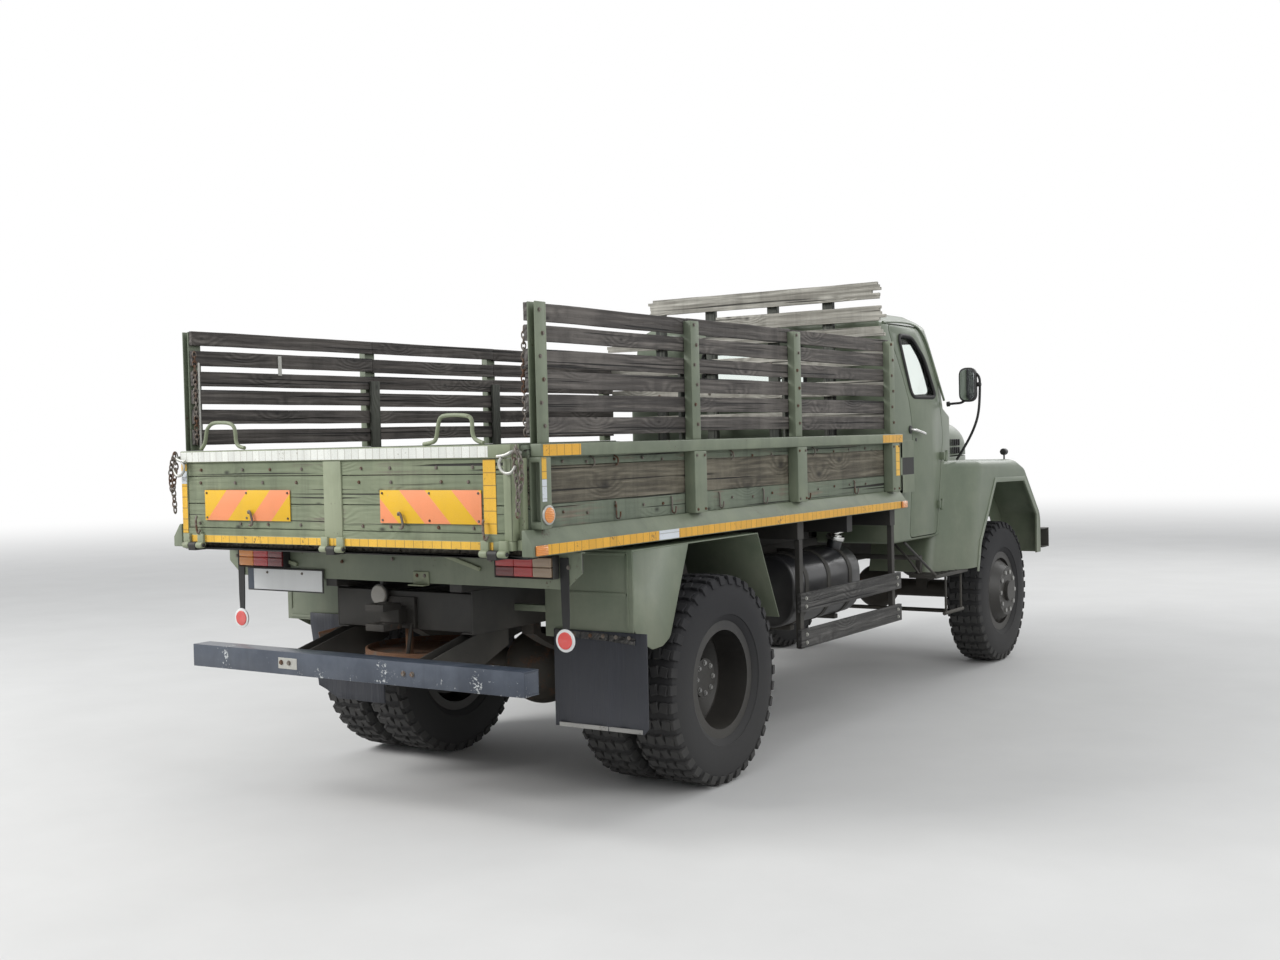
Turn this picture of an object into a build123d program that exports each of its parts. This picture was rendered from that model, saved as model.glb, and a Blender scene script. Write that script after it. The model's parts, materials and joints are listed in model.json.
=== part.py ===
from build123d import *
from math import hypot
import os

# Main sizes, in millimetres. X is right, Y is forward, Z is up from the ground.
wheelbase = 4250
rear_overhang = 1500
front_overhang = 890
front_track = 1740
twin_wheel_centre = 837.5
twin_wheel_pitch = 305
tyre_diameter = 1018
tyre_width = 259
rim_diameter = 508
rim_width = 200
rim_flange = 38
frame_top = 1020
frame_depth = 200
frame_half_width = 420
rail_flange = 70
rail_thickness = 8
sill_height = 100
bearer_height = 100
end_plate_thickness = 12
bed_width = 2180
bed_gap = 70
side_height = 455
side_thickness = 60
rack_height = 578
slat_height = 75
slat_gap = 19
slat_thickness = 22
board_thickness = 40
rail_height = 55
lower_post_width = 108
post_width = 75
headboard_height = 1385
tail_thickness = 60
gate_overhang = 40
cab_width = 1940
cab_length = 1090
cab_bottom = 990
cab_top = 2460
cab_wall = 30
belt_height = 1890
roof_edge = 2370
cab_lean = 65
door_gap = 8
glass_thickness = 6
bonnet_split = 1500
bonnet_half_width = 760
bonnet_top = 1800
bonnet_wall = 5
hood_gap = 8
fender_half_width = 1080
fender_top = 1489
fender_bottom = 762
fender_sheet = 6
guard_half_width = 1085
guard_sheet = 6
bumper_depth = 148
bumper_width = 2100
underride_width = 2060
steer_pin_radius = 15
hinge_pin_radius = 8
axle_pin_radius = 35
running_gap = 0.05
steer_arm = 210
mirror_out = 1078
flap_height = 450
corner_bracket_reach = 170

# Stations that follow from the sizes
rear_axle = -(wheelbase + front_overhang - rear_overhang) / 2
front_axle = rear_axle + wheelbase
front_end = front_axle + front_overhang
axle_height = tyre_diameter / 2
frame_bottom = frame_top - frame_depth
frame_middle = frame_half_width - rail_flange / 2
sill_top = frame_top + sill_height
floor_base = sill_top + bearer_height
floor_top = floor_base + 50
side_top = floor_base + side_height
rack_top = side_top + rack_height
bed_half = bed_width / 2
bed_end = rear_axle - rear_overhang + 50
gate_face = bed_end - gate_overhang
cab_back = front_axle - 1910
cab_front = cab_back + cab_length
bed_front = cab_back - bed_gap
bed_length = bed_front - bed_end
cab_half = cab_width / 2
nose_back = cab_front + hood_gap
king_pin = front_track / 2 - 160
bearer_stations = [
    bed_end + 40,
    bed_end + 0.095 * bed_length,
    bed_end + 0.645 * bed_length,
    bed_end + 0.81 * bed_length,
    bed_front - 100,
]
post_stations = [
    bed_end + 0.02 * bed_length + 15,
    bed_end + 0.347 * bed_length,
    bed_end + 0.63 * bed_length,
    bed_front - 0.0375 * bed_length,
]


def block(x, y, z):
    size = Box(x[1] - x[0], y[1] - y[0], z[1] - z[0])
    return Pos((x[0] + x[1]) / 2, (y[0] + y[1]) / 2, (z[0] + z[1]) / 2) * size


def centred(middle, size):
    return Pos(*middle) * Box(*size)


def rod(radius, start, end):
    reach = Vector(*end) - Vector(*start)
    base = Plane(origin=start, z_dir=reach.normalized())
    return base * Cylinder(radius, reach.length, align=(Align.CENTER, Align.CENTER, Align.MIN))


def outline(points, radius=None):
    if radius is None:
        return make_face(Polyline(*points, close=True))
    return make_face(FilletPolyline(*points, radius=radius, close=True))


def across(points, low, high, radius=None):
    base = Plane(origin=(low, 0, 0), x_dir=(0, 1, 0), z_dir=(1, 0, 0))
    return extrude(base * outline(points, radius), high - low)


def along(points, low, high, radius=None):
    base = Plane(origin=(0, high, 0), x_dir=(1, 0, 0), z_dir=(0, -1, 0))
    return extrude(base * outline(points, radius), high - low)


def upright(points, low, high, radius=None):
    base = Plane(origin=(0, 0, low), x_dir=(1, 0, 0), z_dir=(0, 0, 1))
    return extrude(base * outline(points, radius), high - low)


def shifted(points, distance, closed):
    # Each point moves to the left of the path by the distance, with mitred corners
    count = len(points)
    moved = []
    for index, point in enumerate(points):
        before = points[index - 1] if closed or index > 0 else None
        after = points[(index + 1) % count] if closed or index < count - 1 else None
        normals = []
        for start, end in ((before, point), (point, after)):
            if start is None or end is None:
                continue
            length = hypot(end[0] - start[0], end[1] - start[1])
            normals.append((-(end[1] - start[1]) / length, (end[0] - start[0]) / length))
        first = normals[0]
        last = normals[-1]
        scale = distance / (1 + first[0] * last[0] + first[1] * last[1])
        if len(normals) == 1:
            scale = distance / 2
        moved.append((point[0] + (first[0] + last[0]) * scale, point[1] + (first[1] + last[1]) * scale))
    return moved


def strip(points, thickness):
    return points + shifted(points, thickness, False)[::-1]


def fused(pieces):
    whole = pieces[0]
    for piece in pieces[1:]:
        whole = whole + piece
    return whole


def both_sides(shape):
    return [shape, mirror(shape, about=Plane.YZ)]


def turned(points, about_x):
    # Outline of (x, radius) points turned about the X axis through the wheel centre
    base = Plane(origin=(about_x, 0, 0), x_dir=(1, 0, 0), z_dir=(0, -1, 0))
    return revolve(base * outline(points), Axis.X, 360)


nodes = {}

# Frame rails, cross members and the buffer brackets at the front
rail_back = rear_axle - 1060
rail_front = front_end - 150
rail_section = [
    (frame_half_width, frame_bottom),
    (frame_half_width, frame_top),
    (frame_half_width - rail_flange, frame_top),
    (frame_half_width - rail_flange, frame_top - rail_thickness),
    (frame_half_width - rail_thickness, frame_top - rail_thickness),
    (frame_half_width - rail_thickness, frame_bottom + rail_thickness),
    (frame_half_width - rail_flange, frame_bottom + rail_thickness),
    (frame_half_width - rail_flange, frame_bottom),
]
rail = along(rail_section, rail_back, rail_front)
inner_half = frame_half_width - rail_thickness
cross_members = [
    # middle y, half length, low z, high z
    (rail_back + 40, 40, frame_bottom + 10, frame_top - 15),
    (rear_axle + 780, 35, frame_top - 95, frame_top - 20),
    (rear_axle + 1950, 35, frame_top - 95, frame_top - 20),
    (cab_back + 60, 35, frame_top - 95, frame_top - 20),
    (rail_front - 60, 40, frame_bottom + 10, frame_top - 15),
]
frame_pieces = both_sides(rail)
for middle, half, low, high in cross_members:
    frame_pieces.append(block((-inner_half, inner_half), (middle - half, middle + half), (low, high)))
nodes["chassis_frame"] = Compound(children=frame_pieces)

# Longitudinal sills and cross bearers of the bed
guard_inner = 600
sill = block(
    (frame_middle - rail_flange / 2, frame_middle + rail_flange / 2),
    (bearer_stations[1] - 35, bed_front),
    (frame_top, sill_top),
)
bearers = both_sides(sill)
for station in bearer_stations[1:]:
    bearer_span = (station - 35, station + 35)
    bearers.append(block((-bed_half + 50, bed_half - 50), bearer_span, (sill_top, floor_base)))
for offset in (-330, 220):
    middle = rear_axle + offset
    bearers.append(
        block((-guard_inner + 20, guard_inner - 20), (middle - 35, middle + 35), (sill_top, floor_base))
    )
guard_stations = (bearer_stations[2], bearer_stations[4])
guard_low = 530
guard_rail_x = bed_half - 50
for station in guard_stations:
    hanger = block((guard_rail_x - 30, guard_rail_x), (station - 20, station + 20), (guard_low, sill_top))
    bearers += both_sides(hanger)
end_plate = block(
    (-guard_rail_x, guard_rail_x),
    (bearer_stations[0] - 35, bearer_stations[0] + 35),
    (floor_base - end_plate_thickness, floor_base),
)

# Planks between the wheels on each side
planks = []
for low in (guard_low + 5, guard_low + 200):
    plank = block(
        (guard_rail_x, guard_rail_x + 25),
        (guard_stations[0] - 60, guard_stations[1] + 60),
        (low, low + 100),
    )
    planks += both_sides(plank)
nodes["side_guard_planks"] = Compound(children=planks)

# Bed floor with a steel edge rail round it
board_out = bed_half - side_thickness
board_in = board_out - board_thickness
ledge_height = 108
tape_height = 48
head_face = bed_front - 110
nodes["bed_floor"] = block(
    (-board_in, board_in), (gate_face + tail_thickness + 10, head_face), (floor_base, floor_top)
)
edge_section = [
    (board_out, floor_base),
    (bed_half, floor_base),
    (bed_half, floor_base + tape_height),
    (board_out + 16, floor_base + ledge_height),
    (board_out, floor_base + ledge_height),
]
edge_pieces = both_sides(along(edge_section, bed_end - 20, bed_front))
edge_pieces.append(
    block((-board_out, board_out), (bed_front - 40, bed_front), (floor_base, floor_base + 80))
)
post_low = floor_base + ledge_height
post_high = side_top - rail_height
# The corner posts are channels with the open side towards the tail
corner_low = bed_end + 40
corner_high = bed_end + 112
corner_post = block((board_out, bed_half), (corner_low, corner_high), (post_low, post_high))
corner_post = corner_post - block(
    (board_out + 8, bed_half - 8), (corner_low - 1, corner_low + 38), (post_low + 30, post_high - 20)
)
edge_pieces += both_sides(corner_post)
for station in post_stations[1:]:
    half = lower_post_width / 2
    post = block((board_out, bed_half), (station - half, station + half), (post_low, post_high))
    post = post - block(
        (board_out - 1, bed_half - 10),
        (station - half + 10, station + half - 10),
        (post_low - 1, post_high + 1),
    )
    edge_pieces += both_sides(post)
# Pierced bracket plate in front of each front corner
bracket_low = post_low - 20
bracket = across(
    [
        (bed_front, bracket_low),
        (bed_front + 110, bracket_low),
        (bed_front + corner_bracket_reach, bracket_low + 60),
        (bed_front + corner_bracket_reach, post_high - 40),
        (bed_front + 130, post_high),
        (bed_front, post_high),
    ],
    board_out,
    board_out + 8,
)
bracket_hole = block(
    (board_out - 1, board_out + 9),
    (bed_front + 20, bed_front + corner_bracket_reach - 22),
    (post_high - 200, post_high - 90),
)
edge_pieces += both_sides(bracket - bracket_hole)
front_stay = block((board_out, board_out + 30), (bed_front - 8, bed_front), (post_low, post_high))
edge_pieces += both_sides(front_stay)
nodes["bed_edge_frame"] = Compound(children=edge_pieces)

# Side boards inside the posts, with a top rail over the posts
board_rows = (
    # low z and high z above the bed base
    (0, 98),
    (102, 202),
    (206, 358),
    (362, side_height - 6),
)
side_boards = []
for low, high in board_rows:
    side_boards.append(
        block((board_in, board_out), (corner_low, bed_front - 40), (floor_base + low, floor_base + high))
    )
side_boards.append(block((board_out, bed_half), (bed_end + 50, bed_front - 30), (post_high, side_top)))
nodes["right_side_panel"] = Compound(children=side_boards)
nodes["left_side_panel"] = mirror(nodes["right_side_panel"], about=Plane.YZ)

# Racks above the sides: posts outside, slats inside them, short battens on the inner faces
slat_out = board_out
slat_in = slat_out - slat_thickness
slat_rows = 6
rack_pieces = []
for station in post_stations:
    post = across(
        [
            (station - post_width / 2, side_top),
            (station + post_width / 2, side_top),
            (station + post_width / 2, rack_top - 40),
            (station + post_width / 4, rack_top - 8),
            (station - post_width / 2, rack_top - 8),
        ],
        slat_out,
        slat_out + 42,
    )
    rack_pieces.append(post)
for row in range(slat_rows):
    high = rack_top - row * (slat_height + slat_gap)
    rack_pieces.append(
        block((slat_in, slat_out), (bed_end + 56, bed_front - 90), (high - slat_height, high))
    )
for station in post_stations[1:3]:
    rack_pieces.append(
        block((board_in, slat_in), (station - 34, station + 34), (side_top - 6, side_top + 360))
    )
nodes["right_slat_rack"] = Compound(children=rack_pieces)
nodes["left_slat_rack"] = mirror(nodes["right_slat_rack"], about=Plane.YZ)

# Headboard with its broken upper boards
head_top = floor_base + headboard_height
head_posts = []
for x in (-620, -230, 230, 620):
    head_posts.append(
        block((x - 35, x + 35), (head_face + 25, head_face + 65), (floor_base, head_top - 80))
    )
head_rows = [
    # left x, right x, low z above the bed base, high z above the bed base
    (-board_in, board_in, 0, 84),
    (-board_in, board_in, 90, 245),
    (-board_in, board_in, 255, 410),
    (-slat_in, slat_in, 520, 610),
    (-slat_in, slat_in, 700, 790),
    (-slat_in, slat_in, 880, 970),
    (-board_out - 10, board_out + 10, 1055, 1115),
    (-200, board_out + 8, 1149, 1240),
    (-695, board_out - 40, 1283, 1385),
]
for left, right, low, high in head_rows:
    head_posts.append(
        block((left, right), (head_face, head_face + 25), (floor_base + low, floor_base + high))
    )
nodes["headboard"] = Compound(children=head_posts)

# Mudguards over the twin wheels
guard_top = floor_base - 25
guard_path = [
    (rear_axle - 760, 790),
    (rear_axle - 760, guard_top),
    (rear_axle + 390, guard_top),
    (rear_axle + 605, 745),
]
guard_panels = []
sheet_outline = strip(guard_path, -guard_sheet)
count = len(guard_path)
for index in range(count - 1):
    panel = [sheet_outline[index], sheet_outline[index + 1]]
    panel += [sheet_outline[2 * count - 2 - index], sheet_outline[2 * count - 1 - index]]
    guard_panels.append(across(panel, guard_inner, guard_half_width))
guard_side = across(
    [
        (rear_axle - 760, guard_top),
        (rear_axle - 760, 845),
        (rear_axle - 690, 776),
        (rear_axle - 608, 735),
        (rear_axle - 523, 740),
        (rear_axle - 456, 773),
        (rear_axle - 292, guard_top - 30),
        (rear_axle - 280, guard_top),
    ],
    guard_half_width - guard_sheet,
    guard_half_width,
    [0, 12, 30, 45, 45, 60, 12, 0],
)
for panel in guard_panels:
    guard_side = guard_side - panel
guard_pieces = guard_panels + [guard_side]
for y in (rear_axle - 745, rear_axle + 512):
    guard_pieces.append(block((frame_half_width, guard_inner), (y - 15, y + 15), (900, 930)))
nodes["rear_mudguards"] = Compound(
    children=[piece for side in guard_pieces for piece in both_sides(side)]
)
# The right flap hangs straight and the left one is bent inwards
flap_faces = (rear_axle - 768, rear_axle - 760)
flap_top = 830
flap_low = flap_top - flap_height
right_flap = block((650, 1160), flap_faces, (flap_low, flap_top))
left_flap_outline = [
    (-917, flap_top),
    (-917, flap_top - 61),
    (-863, flap_low + 76),
    (-736, flap_low + 17),
    (-412, flap_low + 14),
    (-412, flap_top - 150),
    (-570, flap_top - 110),
    (-570, flap_top),
]
left_flap = along(left_flap_outline, *flap_faces)
nodes["mudflaps"] = Compound(children=[right_flap, left_flap])

# Sheet beam across the tail with lamps, licence plate and reflector hangers
tail_y = bearer_stations[1] - 35
tail_sheet = along(
    [
        (-bed_half + 5, floor_base - 5),
        (-bed_half + 90, sill_top - 65),
        (bed_half - 90, sill_top - 65),
        (bed_half - 5, floor_base - 5),
    ],
    tail_y - 5,
    tail_y,
)
tail_fold = block((-bed_half + 90, bed_half - 90), (tail_y, tail_y + 30), (sill_top - 65, sill_top - 60))
tail_sheet = tail_sheet + tail_fold
for side in (-1, 1):
    tail_sheet = tail_sheet - block(
        sorted((side * (frame_middle - 36), side * (frame_middle + 36))),
        (tail_y, tail_y + 31),
        (frame_top, sill_top),
    )
hanger = block((bed_half - 104, bed_half - 80), (tail_y - 11, tail_y - 5), (820, floor_base - 30))
disc = rod(50, (bed_half - 92, tail_y - 20, 840), (bed_half - 92, tail_y - 11, 840))
plate_right = -frame_middle - rail_flange / 2 - 2
plate_left = plate_right - 520
plate_bracket = block((plate_left, plate_left + 20), (tail_y - 9, tail_y - 5), (1000, 1100))
plate_bracket_two = block((plate_right - 40, plate_right - 20), (tail_y - 9, tail_y - 5), (1000, 1100))
nodes["tail_beam"] = fused([tail_sheet, plate_bracket, plate_bracket_two] + both_sides(hanger))
lamp = block((650, 970), (tail_y - 65, tail_y - 5), (1100, 1200))
nodes["tail_lamps"] = Compound(children=both_sides(lamp) + both_sides(disc))
nodes["licence_plate"] = block((plate_left, plate_right), (tail_y - 12, tail_y - 9), (985, 1097))

# Bumper bar under the tail and its two channel arms
arm = across(
    [
        (rear_axle - 1345, 660),
        (rear_axle - 1345, 745),
        (rear_axle - 1030, frame_bottom),
        (rear_axle - 800, frame_bottom),
        (rear_axle - 800, 745),
        (rear_axle - 985, 675),
    ],
    frame_half_width - 85,
    frame_half_width - 5,
)
under_beam = block(
    (-underride_width / 2, underride_width / 2),
    (rear_axle - 1445, rear_axle - 1345),
    (645, 750),
)
nodes["underride_bar"] = Compound(children=[under_beam] + both_sides(arm))

# Carrier pan for a spare wheel, hung on a stud from the rear cross member
pan_y = rail_back + 205
pan = Pos(0, pan_y, 700) * Cylinder(320, 12) + Pos(0, pan_y, 715) * (Cylinder(320, 30) - Cylinder(308, 30))
stud = rod(18, (0, rail_back + 40, 700), (0, rail_back + 40, frame_bottom + 10))
nodes["spare_wheel_pan"] = pan + stud

# Tow hitch with a jaw and an upright pin
hitch_z = 900
hitch_plate = block((-90, 90), (rail_back - 20, rail_back), (frame_bottom + 15, 980))
hitch_neck = block((-35, 35), (rail_back - 70, rail_back - 20), (hitch_z - 40, hitch_z + 40))
hitch_jaw = block((-55, 55), (rail_back - 190, rail_back - 70), (hitch_z - 60, hitch_z + 60))
hitch_jaw = hitch_jaw - block((-56, 56), (rail_back - 191, rail_back - 90), (hitch_z - 30, hitch_z + 30))
hitch_hole = rod(20, (0, rail_back - 150, hitch_z - 61), (0, rail_back - 150, hitch_z + 61))
hitch_jaw = hitch_jaw - hitch_hole
hitch_handle = rod(9, (70, rail_back - 22, 860), (80, rail_back - 60, 725))
nodes["tow_hitch"] = fused([hitch_plate, hitch_neck, hitch_jaw, hitch_handle])

# Axles, springs, engine and the drive line
axle_radius = 75
rear_tube = rod(axle_radius, (-640, rear_axle, axle_height), (640, rear_axle, axle_height))
rear_bulb = Pos(0, rear_axle, axle_height) * Sphere(200)
rear_nose = rod(80, (0, rear_axle, axle_height), (0, rear_axle + 330, axle_height))
twin_inner = twin_wheel_centre - twin_wheel_pitch / 2
twin_outer = twin_wheel_centre + twin_wheel_pitch / 2
rear_spindle = rod(
    axle_pin_radius,
    (-twin_wheel_centre - 130, rear_axle, axle_height),
    (twin_wheel_centre + 130, rear_axle, axle_height),
)
nodes["rear_axle"] = fused([rear_tube, rear_bulb, rear_nose, rear_spindle])

yoke = centred((king_pin - 50, front_axle, axle_height), (170, 80, 320))
yoke = yoke - centred((king_pin + 2, front_axle, axle_height), (164, 90, 256))
front_tube = rod(65, (-king_pin + 90, front_axle, axle_height), (king_pin - 90, front_axle, axle_height))
front_bulb = Pos(0, front_axle, axle_height) * Sphere(165)
front_nose = rod(65, (0, front_axle - 320, axle_height), (0, front_axle, axle_height))
pin = rod(
    steer_pin_radius, (king_pin, front_axle, axle_height - 155), (king_pin, front_axle, axle_height + 155)
)
nodes["front_axle"] = fused([front_tube, front_bulb, front_nose] + both_sides(yoke) + both_sides(pin))


def leaf_spring(station, half_length, seat, width):
    # Pack of leaves over the axle, thick in the middle, with hangers up to the rail
    eye_z = frame_bottom - 55
    low = [(station - half_length, eye_z), (station, seat), (station + half_length, eye_z)]
    high = [(station - half_length, eye_z + 18), (station, seat + 85), (station + half_length, eye_z + 18)]
    lower = ThreePointArc(low[0], low[1], low[2])
    upper = ThreePointArc(high[2], high[1], high[0])
    section = make_face([lower, Line(low[2], high[2]), upper, Line(high[0], low[0])])
    base = Plane(origin=(frame_middle - width / 2, 0, 0), x_dir=(0, 1, 0), z_dir=(1, 0, 0))
    pack = extrude(base * section, width)
    pieces = [pack]
    for end in (-1, 1):
        y = station + end * (half_length - 10)
        pieces.append(
            block(
                (frame_middle - width / 2, frame_middle + width / 2),
                (y - 30, y + 30),
                (eye_z + 4, frame_bottom),
            )
        )
    return pieces


spring_width = 70
rear_seat = axle_height + axle_radius + 15
front_seat = axle_height + 65 + 15
rear_spring = leaf_spring(rear_axle, 600, rear_seat, spring_width)
front_spring = leaf_spring(front_axle, 520, front_seat, spring_width)
for station, tube, seat, spring in (
    (rear_axle, axle_radius, rear_seat, rear_spring),
    (front_axle, 65, front_seat, front_spring),
):
    pad = block(
        (frame_middle - 45, frame_middle + 45), (station - 70, station + 70), (axle_height, seat + 6)
    )
    pad = pad - rod(tube, (0, station, axle_height), (frame_half_width + 100, station, axle_height))
    spring.append(pad)
nodes["leaf_springs"] = Compound(children=both_sides(fused(rear_spring)) + both_sides(fused(front_spring)))

engine_back = cab_front + 60
engine = block((-290, 290), (engine_back, front_axle + 320), (frame_bottom + 10, 1420))
engine_feet = block(
    (-inner_half, inner_half), (front_axle - 60, front_axle + 60), (frame_top - 80, frame_top - 20)
)
nodes["engine_block"] = engine + engine_feet

gear_y = cab_back + 620
gearbox = block((-190, 190), (gear_y, engine_back), (frame_bottom - 60, frame_top - 10))
transfer_y = cab_back - 420
transfer = block((-240, 240), (transfer_y - 180, transfer_y + 180), (640, frame_bottom + 60))
transfer_arm = block(
    (-inner_half, inner_half),
    (transfer_y - 40, transfer_y + 40),
    (frame_bottom + 30, frame_bottom + 90),
)
shafts = [
    rod(35, (0, gear_y, 870), (0, transfer_y + 180, 840)),
    rod(38, (0, transfer_y - 180, 700), (0, rear_axle + 330, axle_height)),
    rod(35, (0, transfer_y + 180, 690), (0, front_axle - 320, axle_height)),
]
transfer = transfer + transfer_arm
drive_line = [gearbox, transfer]
for shaft in shafts:
    drive_line.append(shaft - gearbox - transfer - nodes["rear_axle"] - nodes["front_axle"])
nodes["gearbox_and_shafts"] = Compound(children=drive_line)

# Fuel tank on the right, battery box and air tanks on the left, exhaust pipe
tank_stations = (guard_stations[0] + 190, guard_stations[1] - 160)
tank = along(
    [(510, 600), (900, 600), (900, 1010), (510, 1010)], tank_stations[0], tank_stations[1], 60
)
tank_neck = rod(45, (800, tank_stations[1] - 220, 1000), (800, tank_stations[1] - 220, 1060))
tank_cap = rod(55, (800, tank_stations[1] - 220, 1060), (800, tank_stations[1] - 220, 1085))
tank_bearers = []
for station in (tank_stations[0] + 150, tank_stations[1] - 150):
    tank_bearers.append(block((frame_half_width, 500), (station - 25, station + 25), (575, 990)))
    tank_bearers.append(block((500, 880), (station - 25, station + 25), (575, 600)))
tank_hull = fused([tank, tank_neck, tank_cap])
bearer_set = fused(tank_bearers) - tank_hull
tank_pads = []
for station in (tank_stations[0] + 150, tank_stations[1] - 150):
    tank_pads.append(block((500, 512), (station - 25, station + 25), (700, 900)))
nodes["fuel_tank"] = fused([tank_hull] + tank_pads)
nodes["fuel_tank"] = Compound(children=[nodes["fuel_tank"]] + (bearer_set - nodes["fuel_tank"]).solids())
box_side = block((-880, -570), (tank_stations[1] - 520, tank_stations[1]), (620, 1010))
air_tank = rod(125, (-710, tank_stations[0], 800), (-710, tank_stations[0] + 300, 800))
locker_arms = []
battery_stations = (
    tank_stations[0] + 60,
    tank_stations[0] + 230,
    tank_stations[1] - 440,
    tank_stations[1] - 90,
)
for station in battery_stations:
    locker_arms.append(block((-730, -frame_half_width), (station - 15, station + 15), (905, 935)))
nodes["battery_box"] = fused([box_side, air_tank] + locker_arms)


def pipe_run(points, radius):
    pieces = []
    for start, end in zip(points, points[1:]):
        pieces.append(rod(radius, start, end))
    for corner_point in points[1:-1]:
        pieces.append(Pos(*corner_point) * Sphere(radius))
    return fused(pieces)


pipe_x = -(frame_half_width + 70)
pipe_z = 780
exhaust = pipe_run(
    [
        (-600, rear_axle - 1010, 745),
        (pipe_x, rear_axle - 880, pipe_z),
        (pipe_x, cab_back + 380, pipe_z),
        (-240, engine_back + 60, 760),
        (-240, engine_back + 140, frame_bottom + 10),
    ],
    30,
)
silencer = rod(68, (pipe_x - 5, rear_axle + 640, pipe_z - 20), (pipe_x - 5, rear_axle + 1020, pipe_z - 20))
pipe_hangers = []
for y in (rear_axle - 860, rear_axle + 760, cab_back + 100):
    pipe_hangers.append(block((pipe_x - 12, pipe_x + 12), (y - 12, y + 12), (pipe_z, 870)))
    pipe_hangers.append(block((pipe_x - 12, -frame_half_width), (y - 12, y + 12), (858, 870)))
exhaust = fused([exhaust, silencer] + pipe_hangers)
nodes["exhaust_pipe"] = exhaust - nodes["engine_block"]

# Hollow cab: side outline and front outline cut each other, and the same again inside
screen_top = cab_back + 530
cowl_top = belt_height - 20
cab_side = [
    (cab_back, cab_bottom),
    (cab_front - 290, cab_bottom),
    (cab_front, cab_bottom + 330),
    (cab_front, cowl_top - 60),
    (cab_front - 130, cowl_top),
    (screen_top, roof_edge + 30),
    (screen_top - 90, cab_top),
    (cab_back + 90, cab_top),
    (cab_back, cab_top - 90),
]
cab_side_radius = [8, 30, 60, 40, 60, 60, 90, 90, 60]
cab_end = [
    (-cab_half, cab_bottom - 40),
    (cab_half, cab_bottom - 40),
    (cab_half, belt_height),
    (cab_half - cab_lean, roof_edge),
    (cab_half - cab_lean - 130, cab_top + 12),
    (-cab_half + cab_lean + 130, cab_top + 12),
    (-cab_half + cab_lean, roof_edge),
    (-cab_half, belt_height),
]
cab_end_radius = [8, 8, 60, 30, 80, 80, 30, 60]


def cab_form(inset):
    # Both outlines run counter-clockwise, so a shift to the left goes inwards
    side = shifted(cab_side, inset, True)
    end = shifted(cab_end, inset, True)
    side_radius = [max(r - inset, 6) for r in cab_side_radius]
    end_radius = [max(r - inset, 6) for r in cab_end_radius]
    form = across(side, -cab_half - 10, cab_half + 10, side_radius)
    return form & along(end, cab_back - 10, cab_front + 10, end_radius)


cab_outer = cab_form(0)
cab_floor = frame_top + 40
wall_only = cab_outer - cab_form(cab_wall)
floor_pan = block(
    (-cab_half + cab_wall / 2, cab_half - cab_wall / 2),
    (cab_back + cab_wall / 2, cab_front - 180),
    (cab_floor, cab_floor + cab_wall),
)
cab_shell = wall_only - block(
    (-cab_half + cab_wall, cab_half - cab_wall),
    (cab_back + cab_wall, cab_front + 10),
    (cab_bottom - 1, cab_floor),
)
cab_shell = cab_shell + floor_pan
cab_shell = cab_shell - block(
    (-frame_half_width - 20, frame_half_width + 20),
    (cab_back - 10, cab_front + 10),
    (cab_bottom - 20, cab_floor),
)

# Door and window outlines seen from the side, as (forward, up)
door_outline = [
    (cab_back + 330, cab_bottom + 16),
    (cab_front - 360, cab_bottom + 16),
    (cab_front - 175, belt_height - 230),
    (cab_front - 265, belt_height - 30),
    (screen_top - 75, roof_edge - 22),
    (cab_back + 115, roof_edge - 22),
    (cab_back + 235, cab_bottom + 960),
    (cab_back + 330, cab_bottom + 660),
]
door_radius = [40, 40, 60, 40, 60, 60, 200, 80]
window_outline = [
    (cab_back + 305, belt_height + 12),
    (cab_back + 590, belt_height + 12),
    (cab_back + 480, belt_height + 285),
    (cab_back + 350, roof_edge - 68),
    (cab_back + 160, roof_edge - 68),
]
window_radius = [50, 40, 60, 60, 50]
door_all = across(door_outline, cab_half - cab_lean - 50, cab_half + 20, door_radius)
door_upper = door_all - block(
    (cab_half - cab_lean - 60, cab_half - cab_wall - 1),
    (cab_back, cab_front),
    (cab_bottom - 10, belt_height - 60),
)
cab_shell = cab_shell - door_upper - mirror(door_upper, about=Plane.YZ)

screen_open = [
    (28, cowl_top + 62),
    (cab_half - 115, cowl_top + 62),
    (cab_half - cab_lean - 95, roof_edge - 28),
    (28, roof_edge - 28),
]
screen_radius = [30, 70, 70, 30]
screen_cut = along(screen_open, screen_top - 30, cab_front + 20, screen_radius)
rear_open = [
    (-380, belt_height + 70),
    (380, belt_height + 70),
    (380, belt_height + 360),
    (-380, belt_height + 360),
]
rear_cut = along(rear_open, cab_back - 10, cab_back + cab_wall + 20, 50)
cab_shell = cab_shell - screen_cut - mirror(screen_cut, about=Plane.YZ) - rear_cut
pane = cab_form(11) - cab_form(11 + glass_thickness)
screen_pane = pane & screen_cut
nodes["cab_glass"] = Compound(
    children=[screen_pane, mirror(screen_pane, about=Plane.YZ), pane & rear_cut]
)

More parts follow.
